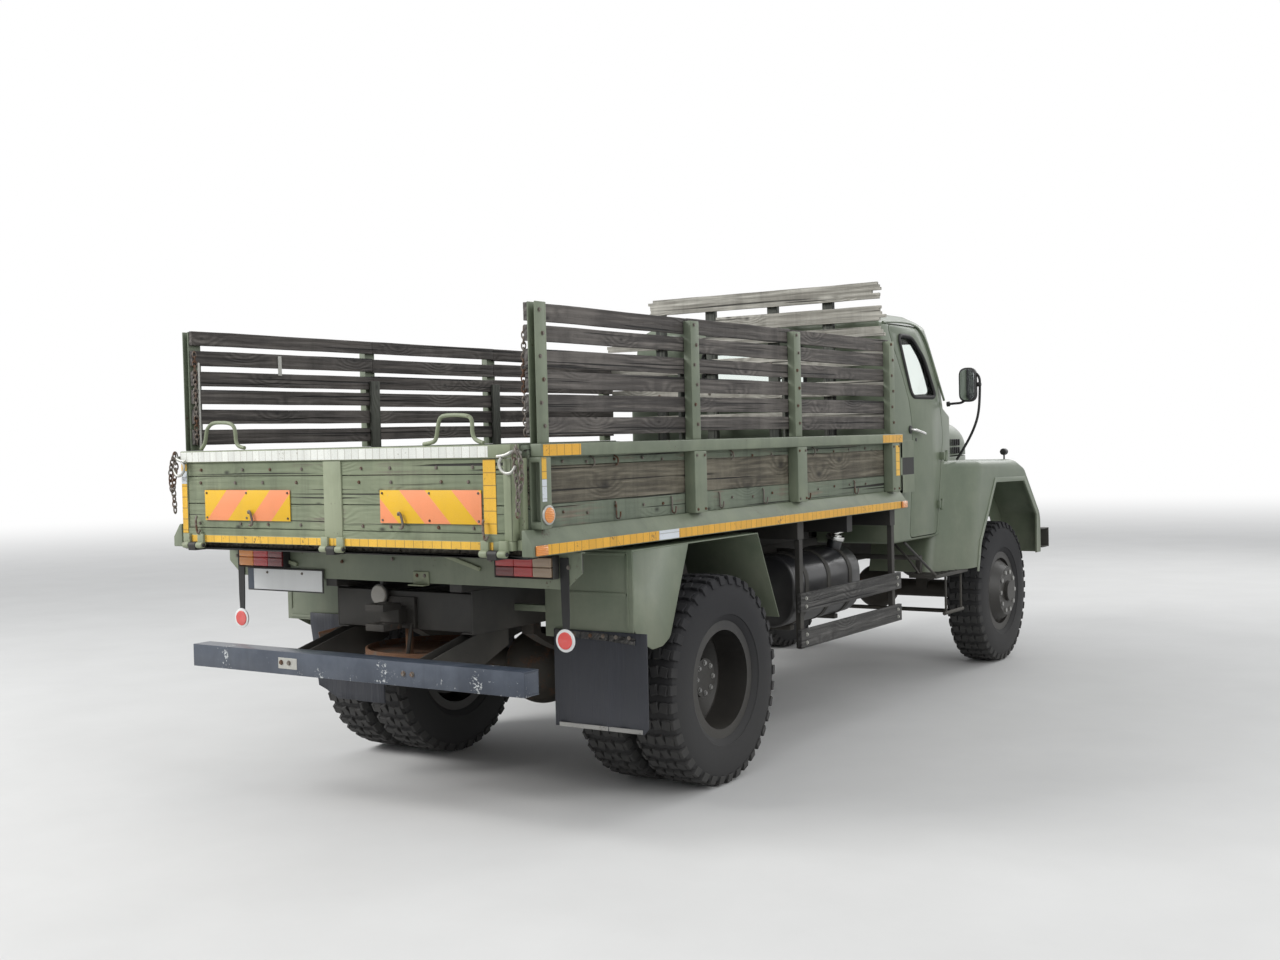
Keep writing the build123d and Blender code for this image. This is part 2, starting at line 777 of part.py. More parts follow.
# Doors, each on two outside hinges that lean with the front edge of the door
door_inner = shifted(door_outline, door_gap, True)
door_inner_radius = [max(r - door_gap, 10) for r in door_radius]
door_inner_radius[6] = door_radius[6]
door_slab = across(door_inner, cab_half - cab_lean - 50, cab_half + 20, door_inner_radius)
window_cut = across(window_outline, cab_half - cab_lean - 80, cab_half + 20, window_radius)
door_skin = wall_only & door_slab
door_skin = door_skin - window_cut
door_pane = pane & window_cut
hinge_foot = Vector(cab_half + 15, door_outline[1][0] - 4, door_outline[1][1])
hinge_head = Vector(cab_half + 15, door_outline[2][0] - 4, door_outline[2][1])
hinge_line = (hinge_head - hinge_foot).normalized()
hinge_length = (hinge_head - hinge_foot).length
hinge_forward = Vector(0, hinge_line.Z, -hinge_line.Y)
fixed_hinges = []
door_hinges = []
for share in (0.14, 0.88):
    place = Plane(
        origin=hinge_foot + hinge_line * (hinge_length * share), x_dir=hinge_forward, z_dir=hinge_line
    )
    knuckle_low = place * (Pos(0, 0, -21.5) * Cylinder(12, 41))
    leaf_low = place * (Pos(20, 10.5, -21.5) * Box(40, 11, 41))
    hinge_pin = place * Cylinder(7, 84)
    knuckle_high = place * (Pos(0, 0, 21.5) * Cylinder(12, 41))
    leaf_high = place * (Pos(-20, 10.5, 21.5) * Box(40, 11, 41))
    bore = place * Cylinder(7 + running_gap, 90)
    fixed_hinges += [knuckle_low, leaf_low, hinge_pin]
    door_hinges += [(knuckle_high + leaf_high) - bore]
low_hinge = fixed_hinges[0] + fixed_hinges[1] + fixed_hinges[2]
high_hinge = fixed_hinges[3] + fixed_hinges[4] + fixed_hinges[5]
fixed_side = fused([low_hinge, high_hinge])
cab_shell = fused([cab_shell, fixed_side, mirror(fixed_side, about=Plane.YZ)])
right_door = fused([door_skin] + door_hinges)
nodes["right_door"] = right_door
nodes["left_door"] = mirror(right_door, about=Plane.YZ)
nodes["right_door_glass"] = door_pane
nodes["left_door_glass"] = mirror(door_pane, about=Plane.YZ)

# Seat, instrument board and steering wheel
nodes["bench_seat"] = Compound(
    children=[
        block((-760, 760), (cab_back + 150, cab_back + 620), (cab_floor + 330, cab_floor + 450)),
        block((-760, 760), (cab_back + 45, cab_back + 150), (cab_floor + 330, cab_floor + 900)),
    ]
)
seat_box = block(
    (-740, 740), (cab_back + 45, cab_back + 600), (cab_floor + cab_wall, cab_floor + 330)
)
board = block((-cab_half + 60, cab_half - 60), (cab_front - 190, cab_front - cab_wall), (1560, 1760))
column_foot = (-420, cab_front - 15, 1333)
column_head = (-420, cab_front - 405, 1735)
column = rod(24, column_foot, column_head) - wall_only
column = column + block((-440, -400), (cab_front - 190, cab_front - 160), (1470, 1570))
nodes["cab_fittings"] = Compound(children=[seat_box, board + column])
column_way = (Vector(*column_head) - Vector(*column_foot)).normalized()
wheel_place = Plane(origin=Vector(*column_head), x_dir=(1, 0, 0), z_dir=column_way)
ring = wheel_place * Torus(205, 13)
spokes = [wheel_place * Box(400, 26, 10), wheel_place * Box(26, 400, 10), wheel_place * Cylinder(40, 40)]
nodes["steering_wheel"] = fused([ring] + spokes) - board - column


# Round nosed bonnet, lofted from arched sections
nose_rows = [
    # distance in front of the cab, half width, top z
    (0, bonnet_half_width, bonnet_top),
    (450, bonnet_half_width - 25, bonnet_top - 5),
    (870, bonnet_half_width - 80, bonnet_top - 30),
    (1190, bonnet_half_width - 190, bonnet_top - 100),
    (1360, bonnet_half_width - 320, bonnet_top - 190),
]
nose_low = tyre_diameter + 42


def nose_form(inset):
    sections = []
    last = len(nose_rows) - 1
    for index, (distance, half, top) in enumerate(nose_rows):
        y = cab_front + distance
        if index == last:
            y = y - inset
        if index == 0:
            y = y - inset * 0.2
        w = half - inset
        h = top - inset
        base = nose_low - inset * 0.2
        points = [
            (-w, base),
            (w, base),
            (w, h - 190),
            (w - 36, h - 82),
            (w - 140, h - 28),
            (0, h),
            (-w + 140, h - 28),
            (-w + 36, h - 82),
            (-w, h - 190),
        ]
        edges = [
            Line(points[0], points[1]),
            Line(points[1], points[2]),
            ThreePointArc(points[2], points[3], points[4]),
            ThreePointArc(points[4], points[5], points[6]),
            ThreePointArc(points[6], points[7], points[8]),
            Line(points[8], points[0]),
        ]
        place = Plane(origin=(0, y, 0), x_dir=(1, 0, 0), z_dir=(0, -1, 0))
        sections.append(place * make_face(edges))
    return loft(sections)


nose_solid = nose_form(0)
nose_shell = nose_solid - nose_form(bonnet_wall)
nose_end = cab_front + nose_rows[-1][0]
lower_nose = nose_shell & block((-1000, 1000), (cab_front, nose_end + 10), (nose_low - 10, bonnet_split))
grille_half = nose_rows[-1][1] - 90
grille_low = nose_low + 50
grille_high = bonnet_split - 60
grille_hole = block((-grille_half, grille_half), (nose_end - 40, nose_end + 20), (grille_low, grille_high))
bars = []
bar_count = 9
for index in range(bar_count):
    z = grille_low + (index + 0.5) * (grille_high - grille_low) / bar_count
    bars.append(block((-grille_half - 5, grille_half + 5), (nose_end - 16, nose_end - 2), (z - 9, z + 9)))
lower_nose = fused([lower_nose - grille_hole] + bars)
bonnet = nose_shell & block(
    (-1000, 1000), (cab_front + hood_gap, nose_end + 10), (bonnet_split + hood_gap, bonnet_top + 50)
)
hood_axis_y = cab_front + 2
hood_axis_z = bonnet_top + 14
hood_hinges = []
hood_fixed = []
for x in (-420, 420):
    hood_fixed.append(rod(6, (x - 40, hood_axis_y, hood_axis_z), (x + 40, hood_axis_y, hood_axis_z)))
    hood_fixed.append(rod(11, (x - 40, hood_axis_y, hood_axis_z), (x - 1, hood_axis_y, hood_axis_z)))
    hood_fixed.append(
        block((x - 40, x - 1), (hood_axis_y - 22, hood_axis_y - 2), (hood_axis_z - 60, hood_axis_z + 4))
    )
    hood_hinges.append(rod(11, (x + 1, hood_axis_y, hood_axis_z), (x + 40, hood_axis_y, hood_axis_z)))
    hood_hinges.append(
        block((x + 1, x + 40), (hood_axis_y + 4, hood_axis_y + 50), (bonnet_top - 34, hood_axis_z + 4))
    )
hood_bore = rod(6 + running_gap, (-480, hood_axis_y, hood_axis_z), (480, hood_axis_y, hood_axis_z))
cab_shell = fused([cab_shell] + hood_fixed)
nodes["bonnet"] = fused([bonnet] + hood_hinges) - hood_bore
nodes["nose_shell"] = lower_nose
nodes["cab_shell"] = cab_shell

# Flat angular front fenders
fender_inner = frame_half_width + 30
door_slope = (door_outline[2][0] - door_outline[1][0]) / (door_outline[2][1] - door_outline[1][1])
fender_back_low = door_outline[1][0] + 75 + door_slope * (fender_bottom - door_outline[1][1])
fender_back_high = door_outline[1][0] + 75 + door_slope * (fender_top - door_outline[1][1])
fender_outline = [
    (fender_back_low, fender_bottom),
    (front_axle + 596, fender_bottom),
    (front_axle + 596, fender_bottom + 281),
    (front_axle + 255, fender_top - 60),
    (fender_back_high, fender_top),
]
arch_outline = [
    (front_axle - 770, fender_bottom - 20),
    (front_axle + 500, fender_bottom - 20),
    (front_axle + 500, 1017),
    (front_axle + 200, 1305),
    (front_axle - 335, 1312),
    (front_axle - 720, 878),
]
fender_plan = [
    (fender_inner, fender_back_low - 80),
    (cab_half - 40, fender_back_low - 80),
    (cab_half, fender_back_low),
    (fender_half_width, fender_back_low + 300),
    (fender_half_width, front_axle + 620),
    (fender_inner, front_axle + 620),
]
fender_solid = across(fender_outline, fender_inner, fender_half_width) & upright(
    fender_plan, fender_bottom - 30, fender_top + 30
)
inner_outline = shifted(fender_outline, fender_sheet, True)
inner_outline[0] = (inner_outline[0][0], fender_bottom - 20)
inner_outline[1] = (inner_outline[1][0], fender_bottom - 20)
inner_plan = shifted(fender_plan, fender_sheet, True)
inner_plan[0] = (fender_inner - 10, inner_plan[0][1])
inner_plan[5] = (fender_inner - 10, inner_plan[5][1])
fender_room = across(inner_outline, fender_inner - 5, fender_half_width) & upright(
    inner_plan, fender_bottom - 30, fender_top + 30
)
fender = fender_solid - fender_room
fender = fender - across(arch_outline, fender_half_width - 80, fender_half_width + 10)
splash_path = [
    (front_axle - 790, fender_bottom),
    (front_axle - 730, 878),
    (front_axle - 350, 1318),
    (front_axle - 350, fender_top - 30),
]
splash = across(strip(splash_path, fender_sheet), nose_rows[1][1] - 60, fender_half_width - 3)
fender = fender + (splash & fender_solid)
fender = fender - cab_outer - nose_solid
nodes["front_fenders"] = Compound(children=both_sides(fender))
lamp_x = 800
lamp_z = fender_bottom + 150
headlamp = rod(100, (lamp_x, front_axle + 596, lamp_z), (lamp_x, front_axle + 640, lamp_z))
nodes["headlamps"] = Compound(children=both_sides(headlamp))

# Mirror on a bent arm from the cowl, ahead of the door
mirror_y = cab_front - 50
mirror_width = 125
mirror_height = 230
mirror_z = belt_height + 105
arm_foot = (cab_half - 40, cab_front - 30, 1410)
arm_knee = (cab_half + 147, mirror_y, 1750)
arm_top = (cab_half + 189, mirror_y, mirror_z - 65)
arm_pieces = [
    rod(9, arm_foot, arm_knee),
    Pos(*arm_knee) * Sphere(9),
    rod(9, arm_knee, arm_top),
    Pos(*arm_top) * Sphere(9),
    rod(9, arm_top, (mirror_out + 40, mirror_y, mirror_z - 35)),
    rod(9, (cab_half - 75, mirror_y, mirror_z - 92), (mirror_out - 44, mirror_y, mirror_z - 100)),
]
mirror_outline = [
    (mirror_out - mirror_width / 2, mirror_z - mirror_height / 2),
    (mirror_out + mirror_width / 2, mirror_z - mirror_height / 2),
    (mirror_out + mirror_width / 2, mirror_z + mirror_height / 2),
    (mirror_out - mirror_width / 2, mirror_z + mirror_height / 2),
]
mirror_head = along(mirror_outline, mirror_y - 22, mirror_y + 22, 30)
mirror_all = fused(arm_pieces + [mirror_head]) - cab_outer - fender_solid
nodes["right_mirror"] = mirror_all
nodes["left_mirror"] = mirror(mirror_all, about=Plane.YZ)

# Bumper, steps and cab mounts
bumper_low = 770
bumper_high = bumper_low + bumper_depth
bumper = block((-bumper_width / 2, bumper_width / 2), (rail_front, front_end), (bumper_low, bumper_high))
bumper = bumper - block(
    (-bumper_width / 2 - 1, bumper_width / 2 + 1),
    (rail_front - 1, front_end - 8),
    (bumper_low + 8, bumper_high - 8),
)
bumper_pads = block(
    (frame_half_width - rail_flange, frame_half_width),
    (rail_front, front_end - 4),
    (frame_bottom, bumper_high - 4),
)
nodes["front_bumper"] = fused([bumper] + both_sides(bumper_pads))

step_y = (cab_back + 490, cab_back + 1050)
step_x = (860, 1050)
step_z = (730, 750)
rung_x = 1020
rung_z = 480
step_pieces = [block(step_x, step_y, step_z)]
for y in (step_y[0] + 110, step_y[1] - 90):
    step_pieces.append(
        block((frame_half_width, step_x[0] + 40), (y - 20, y + 20), (frame_bottom + 20, frame_bottom + 50))
    )
    step_pieces.append(
        block((step_x[0] + 10, step_x[0] + 40), (y - 20, y + 20), (step_z[1], frame_bottom + 20))
    )
rung = rod(12, (rung_x, cab_back + 690, rung_z), (rung_x, cab_back + 1020, rung_z))
step_pieces.append(rung)
for y in (cab_back + 720, cab_back + 990):
    step_pieces.append(rod(8, (rung_x, y, step_z[0]), (rung_x, y, rung_z)) - rung)
nodes["cab_steps"] = Compound(children=[piece for side in step_pieces for piece in both_sides(side)])
mount_pads = []
for y in (cab_back + 150, cab_front - 260):
    mount_pads += both_sides(
        block((frame_middle - 30, frame_middle + 30), (y - 45, y + 45), (frame_top, cab_floor))
    )
nodes["cab_mounts"] = Compound(children=mount_pads)

# Tailgate on three bottom hinges, with two sloping-stripe boards
gate_half = bed_half - 90
gate_low = floor_base + 25
gate_high = side_top
gate_axis_y = gate_face - 12
gate_axis_z = floor_base + 12
gate_pieces = []
gate_rows = (
    # low z above the bed base, high z above the bed base, outer face in from the gate face, thickness
    (25, 92, 4, 44),
    (95, 205, 8, 40),
    (209, 333, 8, 40),
    (337, 398, 8, 40),
    (400, side_height, 0, tail_thickness),
)
for low, high, inset, thickness in gate_rows:
    gate_pieces.append(
        block(
            (-gate_half, gate_half),
            (gate_face + inset, gate_face + inset + thickness),
            (floor_base + low, floor_base + high),
        )
    )
for middle, half in ((-gate_half + 40, 40), (0, 54), (gate_half - 40, 40)):
    gate_pieces.append(
        block(
            (middle - half, middle + half), (gate_face + 1, gate_face + 56), (gate_low + 2, gate_high - 20)
        )
    )
handle_y = gate_face + 20
handle_top = gate_high + 95
for middle, reach in ((-707, 96), (727, 106)):
    for x in (middle - reach, middle + reach):
        gate_pieces.append(rod(8, (x, handle_y, gate_high - 5), (x, handle_y, handle_top)))
    ends = (middle - reach - 8, middle + reach + 8)
    gate_pieces.append(rod(8, (ends[0], handle_y, handle_top), (ends[1], handle_y, handle_top)))
gate_fixed = []
gate_moving = []
for middle in (-gate_half + 90, 0, gate_half - 90):
    start = (middle - 25, gate_axis_y, gate_axis_z)
    end = (middle + 25, gate_axis_y, gate_axis_z)
    gate_fixed.append(rod(15, start, end))
    gate_fixed.append(
        block(
            (middle - 25, middle + 25),
            (gate_axis_y - 12, bed_end + 6),
            (floor_base - end_plate_thickness, floor_base - 2),
        )
    )
    gate_fixed.append(
        block(
            (middle - 25, middle + 25), (gate_axis_y - 12, gate_axis_y + 12), (floor_base - 2, gate_axis_z)
        )
    )
    gate_fixed.append(
        rod(
            hinge_pin_radius,
            (middle - 75, gate_axis_y, gate_axis_z),
            (middle + 75, gate_axis_y, gate_axis_z),
        )
    )
    for side in (-1, 1):
        inner = middle + side * 27
        outer = middle + side * 70
        gate_moving.append(rod(15, (inner, gate_axis_y, gate_axis_z), (outer, gate_axis_y, gate_axis_z)))
        gate_moving.append(
            block(sorted((inner, outer)), (gate_axis_y - 8, gate_face + 6), (gate_axis_z, gate_low + 40))
        )
bore_ends = ((-gate_half, gate_axis_y, gate_axis_z), (gate_half, gate_axis_y, gate_axis_z))
gate_bore = rod(hinge_pin_radius + running_gap, *bore_ends)
nodes["tailgate"] = fused(gate_pieces + gate_moving) - gate_bore
nodes["bed_bearers"] = Compound(children=bearers + [fused([end_plate] + gate_fixed)])
boards = []
for left, right in ((-836, -268), (282, 842)):
    boards.append(
        block((left, right), (gate_face + 4, gate_face + 8), (floor_base + 130, floor_base + 271))
    )
nodes["marker_boards"] = Compound(children=boards)

# Steering knuckles with spindles, joined by a tie rod
knuckle = centred((king_pin, front_axle, axle_height), (90, 100, 250))
knuckle = knuckle + rod(
    axle_pin_radius, (king_pin + 40, front_axle, axle_height), (king_pin + 260, front_axle, axle_height)
)
knuckle = knuckle + rod(
    120, (king_pin + 45, front_axle, axle_height), (king_pin + 57, front_axle, axle_height)
)
arm_z = axle_height - 95
rod_z = axle_height - 140
arm_y = front_axle - steer_arm
arm_beam = block((king_pin - 20, king_pin + 20), (arm_y, front_axle - 40), (arm_z - 15, arm_z + 15))
arm_eye = rod(22, (king_pin, arm_y, arm_z - 15), (king_pin, arm_y, arm_z + 15))
arm_pin = rod(10, (king_pin, arm_y, rod_z - 22), (king_pin, arm_y, arm_z))
king_bore = rod(
    steer_pin_radius + running_gap,
    (king_pin, front_axle, axle_height - 200),
    (king_pin, front_axle, axle_height + 200),
)
knuckle = fused([knuckle, arm_beam, arm_eye]) - king_bore
knuckle = knuckle + arm_pin
nodes["right_knuckle"] = knuckle
nodes["left_knuckle"] = mirror(knuckle, about=Plane.YZ)
tie = rod(15, (-king_pin, arm_y, rod_z), (king_pin, arm_y, rod_z))
for x in (-king_pin, king_pin):
    tie = tie + rod(24, (x, arm_y, rod_z - 19), (x, arm_y, rod_z + 19))
for x, gap in ((-king_pin, 0.4), (king_pin, running_gap)):
    tie = tie - rod(10 + gap, (x, arm_y, rod_z - 40), (x, arm_y, rod_z + 40))
nodes["tie_rod"] = tie


# Wheels
bead = rim_diameter / 2
flange_top = bead + rim_flange
rim_half = rim_width / 2
tyre_half = tyre_width / 2
tyre_radius = tyre_diameter / 2


def tyre(centre):
    # Half the section is drawn outwards from the bead, then the other half back
    bead_half = rim_half - 6
    right_side = [(bead_half, bead), (bead_half, flange_top)]
    wide = (tyre_half, (flange_top + tyre_radius) / 2)
    shoulder = (tyre_half - 14, tyre_radius - 26)
    crown = (tyre_half - 26, tyre_radius - 6)
    top = (0, tyre_radius)
    edges = [
        Line((-bead_half, bead), (bead_half, bead)),
        Line((bead_half, bead), (bead_half, flange_top)),
        ThreePointArc((bead_half, flange_top), wide, shoulder),
        Line(shoulder, crown),
        ThreePointArc(crown, top, (-crown[0], crown[1])),
        Line((-crown[0], crown[1]), (-shoulder[0], shoulder[1])),
        ThreePointArc((-shoulder[0], shoulder[1]), (-wide[0], wide[1]), (-bead_half, flange_top)),
        Line((-bead_half, flange_top), (-bead_half, bead)),
    ]
    place = Plane(origin=(centre, 0, 0), x_dir=(1, 0, 0), z_dir=(0, -1, 0))
    return revolve(place * make_face(edges), Axis.X, 360)


def rim(centre, face, wall):
    # Rim band and a dished disc whose mounting face stands at x = face
    band = [
        (-rim_half, bead - 14),
        (rim_half, bead - 14),
        (rim_half, flange_top),
        (rim_half - 6, flange_top),
        (rim_half - 6, bead),
        (-rim_half + 6, bead),
        (-rim_half + 6, flange_top),
        (-rim_half, flange_top),
    ]
    ring = turned(band, centre)
    lean = 1 if face > centre else -1
    root = centre + lean * (rim_half - 30) * 0.9
    disc_path = [(face, 75), (face, 168), (root, bead - 24), (root, bead - 10)]
    disc = turned(strip(disc_path, -lean * wall), 0)
    return ring + disc


def at_wheel(shape, station):
    return Pos(0, station, axle_height) * shape


hub_face = front_track / 2 + twin_wheel_pitch / 2
front_face = hub_face - 8
front_hub = fused(
    [
        rod(82, (king_pin + 90, 0, 0), (hub_face - 10, 0, 0)),
        rod(165, (front_face - 14, 0, 0), (front_face, 0, 0)),
        rod(70, (hub_face - 12, 0, 0), (hub_face + 25, 0, 0)),
        rod(190, (king_pin + 66, 0, 0), (king_pin + 130, 0, 0)),
    ]
)
spindle_room = rod(axle_pin_radius + running_gap, (0, 0, 0), (king_pin + 262, 0, 0))
front_rim = rim(front_track / 2, front_face, 8)
front_wheel = fused([front_hub, front_rim]) - spindle_room
front_wheel_right = at_wheel(front_wheel, front_axle)
front_tyre_right = at_wheel(tyre(front_track / 2), front_axle)
nodes["right_front_wheel"] = front_wheel_right
nodes["left_front_wheel"] = mirror(front_wheel_right, about=Plane.YZ)
nodes["right_front_tyre"] = front_tyre_right
nodes["left_front_tyre"] = mirror(front_tyre_right, about=Plane.YZ)

rear_hub = fused(
    [
        rod(165, (twin_wheel_centre - 7, 0, 0), (twin_wheel_centre + 7, 0, 0)),
        rod(82, (twin_wheel_centre - 120, 0, 0), (twin_wheel_centre + 120, 0, 0)),
        rod(95, (twin_wheel_centre + 7, 0, 0), (twin_wheel_centre + 150, 0, 0)),
        rod(200, (twin_wheel_centre - 175, 0, 0), (twin_wheel_centre - 60, 0, 0)),
    ]
)
rear_room = rod(axle_pin_radius + running_gap, (0, 0, 0), (twin_wheel_centre + 132, 0, 0))
outer_rim = rim(twin_outer, twin_wheel_centre + 7, 8)
inner_rim = rim(twin_inner, twin_wheel_centre - 7, 8)
rear_wheels = fused([rear_hub, outer_rim, inner_rim]) - rear_room
rear_right = at_wheel(rear_wheels, rear_axle)
nodes["right_rear_wheels"] = rear_right
nodes["left_rear_wheels"] = mirror(rear_right, about=Plane.YZ)
twin_tyres = Compound(
    children=[at_wheel(tyre(twin_outer), rear_axle), at_wheel(tyre(twin_inner), rear_axle)]
)
nodes["right_rear_tyres"] = twin_tyres
nodes["left_rear_tyres"] = mirror(twin_tyres, about=Plane.YZ)

os.makedirs("parts", exist_ok=True)
for name, shape in nodes.items():
    export_step(shape, "parts/" + name + ".step")
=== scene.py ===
import json
from math import atan2, cos, pi, radians, sin
import random

import bpy
from mathutils import Matrix, Vector

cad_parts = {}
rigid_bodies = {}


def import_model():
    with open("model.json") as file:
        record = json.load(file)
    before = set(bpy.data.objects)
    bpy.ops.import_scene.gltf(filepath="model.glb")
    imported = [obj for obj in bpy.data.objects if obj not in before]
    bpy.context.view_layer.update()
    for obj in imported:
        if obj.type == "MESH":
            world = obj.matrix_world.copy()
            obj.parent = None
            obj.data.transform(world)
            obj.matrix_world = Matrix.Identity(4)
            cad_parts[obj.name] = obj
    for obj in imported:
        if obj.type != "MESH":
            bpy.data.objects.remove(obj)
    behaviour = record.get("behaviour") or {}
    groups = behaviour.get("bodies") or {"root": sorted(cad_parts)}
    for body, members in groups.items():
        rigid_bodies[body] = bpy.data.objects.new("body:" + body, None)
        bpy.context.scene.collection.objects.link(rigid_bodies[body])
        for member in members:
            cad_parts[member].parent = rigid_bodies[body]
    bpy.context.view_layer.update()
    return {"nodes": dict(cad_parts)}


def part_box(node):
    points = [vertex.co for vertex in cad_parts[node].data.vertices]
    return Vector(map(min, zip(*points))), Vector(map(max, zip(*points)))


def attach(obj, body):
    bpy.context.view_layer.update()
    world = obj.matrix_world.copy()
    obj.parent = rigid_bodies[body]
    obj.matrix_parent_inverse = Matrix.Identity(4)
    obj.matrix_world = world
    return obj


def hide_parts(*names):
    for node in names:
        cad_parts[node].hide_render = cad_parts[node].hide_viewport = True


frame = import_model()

scene = bpy.context.scene
for area in list(bpy.data.objects):
    area.select_set(False)

# camera, floor and light
camera = {
    "place": (4.6454, -7.8885, 1.6883),
    "lens": 40.93,
    "yaw": 33.4517,
    "pitch": -1.6566,
    "roll": -1.3515,
}


def setCamera():
    yaw, pitch, roll = (radians(camera[key]) for key in ("yaw", "pitch", "roll"))
    forward = Vector((-sin(yaw) * cos(pitch), cos(yaw) * cos(pitch), sin(pitch)))
    right = Vector((cos(yaw), sin(yaw), 0.0))
    up = right.cross(forward)
    across = right * cos(roll) + up * sin(roll)
    above = -right * sin(roll) + up * cos(roll)
    data = bpy.data.cameras.new("camera")
    data.lens = camera["lens"]
    data.sensor_width = 36
    data.clip_end = 400
    eye = bpy.data.objects.new("camera", data)
    scene.collection.objects.link(eye)
    turn = Matrix((across, above, -forward)).transposed()
    eye.matrix_world = Matrix.Translation(camera["place"]) @ turn.to_4x4()
    scene.camera = eye


def addNode(tree, kind, inputs=None, **settings):
    node = tree.nodes.new(kind)
    for key, value in settings.items():
        setattr(node, key, value)
    for key, value in (inputs or {}).items():
        socket = node.inputs[key]
        if isinstance(value, bpy.types.NodeSocket):
            tree.links.new(value, socket)
        else:
            socket.default_value = value
    return node


def setLight():
    world = bpy.data.worlds.new("softSky")
    scene.world = world
    world.use_nodes = True
    tree = world.node_tree
    tree.nodes.clear()
    soft = addNode(tree, "ShaderNodeBackground", {"Color": (0.93, 0.96, 1.0, 1), "Strength": 0.62})
    white = addNode(tree, "ShaderNodeBackground", {"Color": (1, 1, 1, 1), "Strength": 1.0})
    path = addNode(tree, "ShaderNodeLightPath")
    seen = addNode(tree, "ShaderNodeMath", {0: path.outputs["Is Camera Ray"], 1: path.outputs["Is Glossy Ray"]}, operation="MAXIMUM")
    seen = addNode(tree, "ShaderNodeMath", {0: seen.outputs[0], 1: path.outputs["Is Transmission Ray"]}, operation="MAXIMUM")
    both = addNode(tree, "ShaderNodeMixShader", {0: seen.outputs[0], 1: soft.outputs[0], 2: white.outputs[0]})
    out = addNode(tree, "ShaderNodeOutputWorld", {"Surface": both.outputs[0]})
    lamps = (
        # name, place, aim, size, power
        ("keyLamp", (-6.5, -9.5, 8.5), (0, -1.5, 1.0), 5.0, 1150),
        ("fillLamp", (9.5, -3.0, 6.0), (0, 0.0, 1.2), 7.0, 330),
        ("rimLamp", (2.0, 10.5, 7.0), (0, 1.0, 1.5), 6.0, 330),
    )
    for name, place, aim, size, power in lamps:
        data = bpy.data.lights.new(name, "AREA")
        data.size = size
        data.energy = power
        lamp = bpy.data.objects.new(name, data)
        scene.collection.objects.link(lamp)
        way = Vector(aim) - Vector(place)
        lamp.matrix_world = Matrix.Translation(place) @ way.to_track_quat("-Z", "Y").to_matrix().to_4x4()


def setFloor():
    bpy.ops.mesh.primitive_circle_add(vertices=96, radius=70, fill_type="NGON", location=(0, 0, 0))
    floor = bpy.context.object
    floor.name = "studioFloor"
    material = bpy.data.materials.new("studioFloor")
    material.use_nodes = True
    tree = material.node_tree
    tree.nodes.clear()
    place = addNode(tree, "ShaderNodeTexCoord")
    noise = addNode(tree, "ShaderNodeTexNoise", {"Vector": place.outputs["Object"], "Scale": 1.3, "Detail": 8.0, "Roughness": 0.6})
    tone = addNode(tree, "ShaderNodeMixRGB", {0: noise.outputs["Fac"], 1: (0.60, 0.595, 0.58, 1), 2: (0.70, 0.695, 0.68, 1)})
    pale = addNode(tree, "ShaderNodeBsdfPrincipled", {"Base Color": tone.outputs[0], "Roughness": 0.85})
    white = addNode(tree, "ShaderNodeEmission", {"Color": (1, 1, 1, 1), "Strength": 1.0})
    reach = addNode(tree, "ShaderNodeVectorMath", {0: place.outputs["Object"]}, operation="LENGTH")
    fade = addNode(tree, "ShaderNodeMapRange", {"Value": reach.outputs["Value"], "From Min": 9.0, "From Max": 30.0}, interpolation_type="SMOOTHSTEP")
    path = addNode(tree, "ShaderNodeLightPath")
    seen = addNode(tree, "ShaderNodeMath", {0: path.outputs["Is Camera Ray"], 1: fade.outputs["Result"]}, operation="MULTIPLY")
    both = addNode(tree, "ShaderNodeMixShader", {0: seen.outputs[0], 1: pale.outputs[0], 2: white.outputs[0]})
    addNode(tree, "ShaderNodeOutputMaterial", {"Surface": both.outputs[0]})
    floor.data.materials.append(material)


setCamera()
setLight()
setFloor()
scene.view_settings.view_transform = "Standard"
print("stage set")

# shader groups


def newGroup(name, inputs, outputs):
    group = bpy.data.node_groups.new(name, "ShaderNodeTree")
    kinds = {"value": "NodeSocketFloat", "colour": "NodeSocketColor", "vector": "NodeSocketVector"}
    for label, kind, value in inputs:
        socket = group.interface.new_socket(label, in_out="INPUT", socket_type=kinds[kind])
        if kind != "vector":
            socket.default_value = value
    for label, kind in outputs:
        group.interface.new_socket(label, in_out="OUTPUT", socket_type=kinds[kind])
    return group, group.nodes.new("NodeGroupInput"), group.nodes.new("NodeGroupOutput")


def calc(tree, operation, first, second=0.0, third=0.0):
    node = addNode(tree, "ShaderNodeMath", operation=operation)
    for index, value in enumerate((first, second, third)):
        if isinstance(value, bpy.types.NodeSocket):
            tree.links.new(value, node.inputs[index])
        else:
            node.inputs[index].default_value = value
    return node.outputs[0]


def stepMask(tree, value, low, high):
    node = addNode(tree, "ShaderNodeMapRange", {"Value": value, "From Min": low, "From Max": high}, interpolation_type="SMOOTHSTEP")
    return node.outputs["Result"]


def scaled(tree, vector, scale):
    return addNode(tree, "ShaderNodeMapping", {"Vector": vector, "Scale": scale}).outputs[0]


def noiseAt(tree, vector, scale, detail=5.0, roughness=0.6, distortion=0.0):
    values = {"Vector": vector, "Scale": scale, "Detail": detail, "Roughness": roughness, "Distortion": distortion}
    return addNode(tree, "ShaderNodeTexNoise", values).outputs["Fac"]


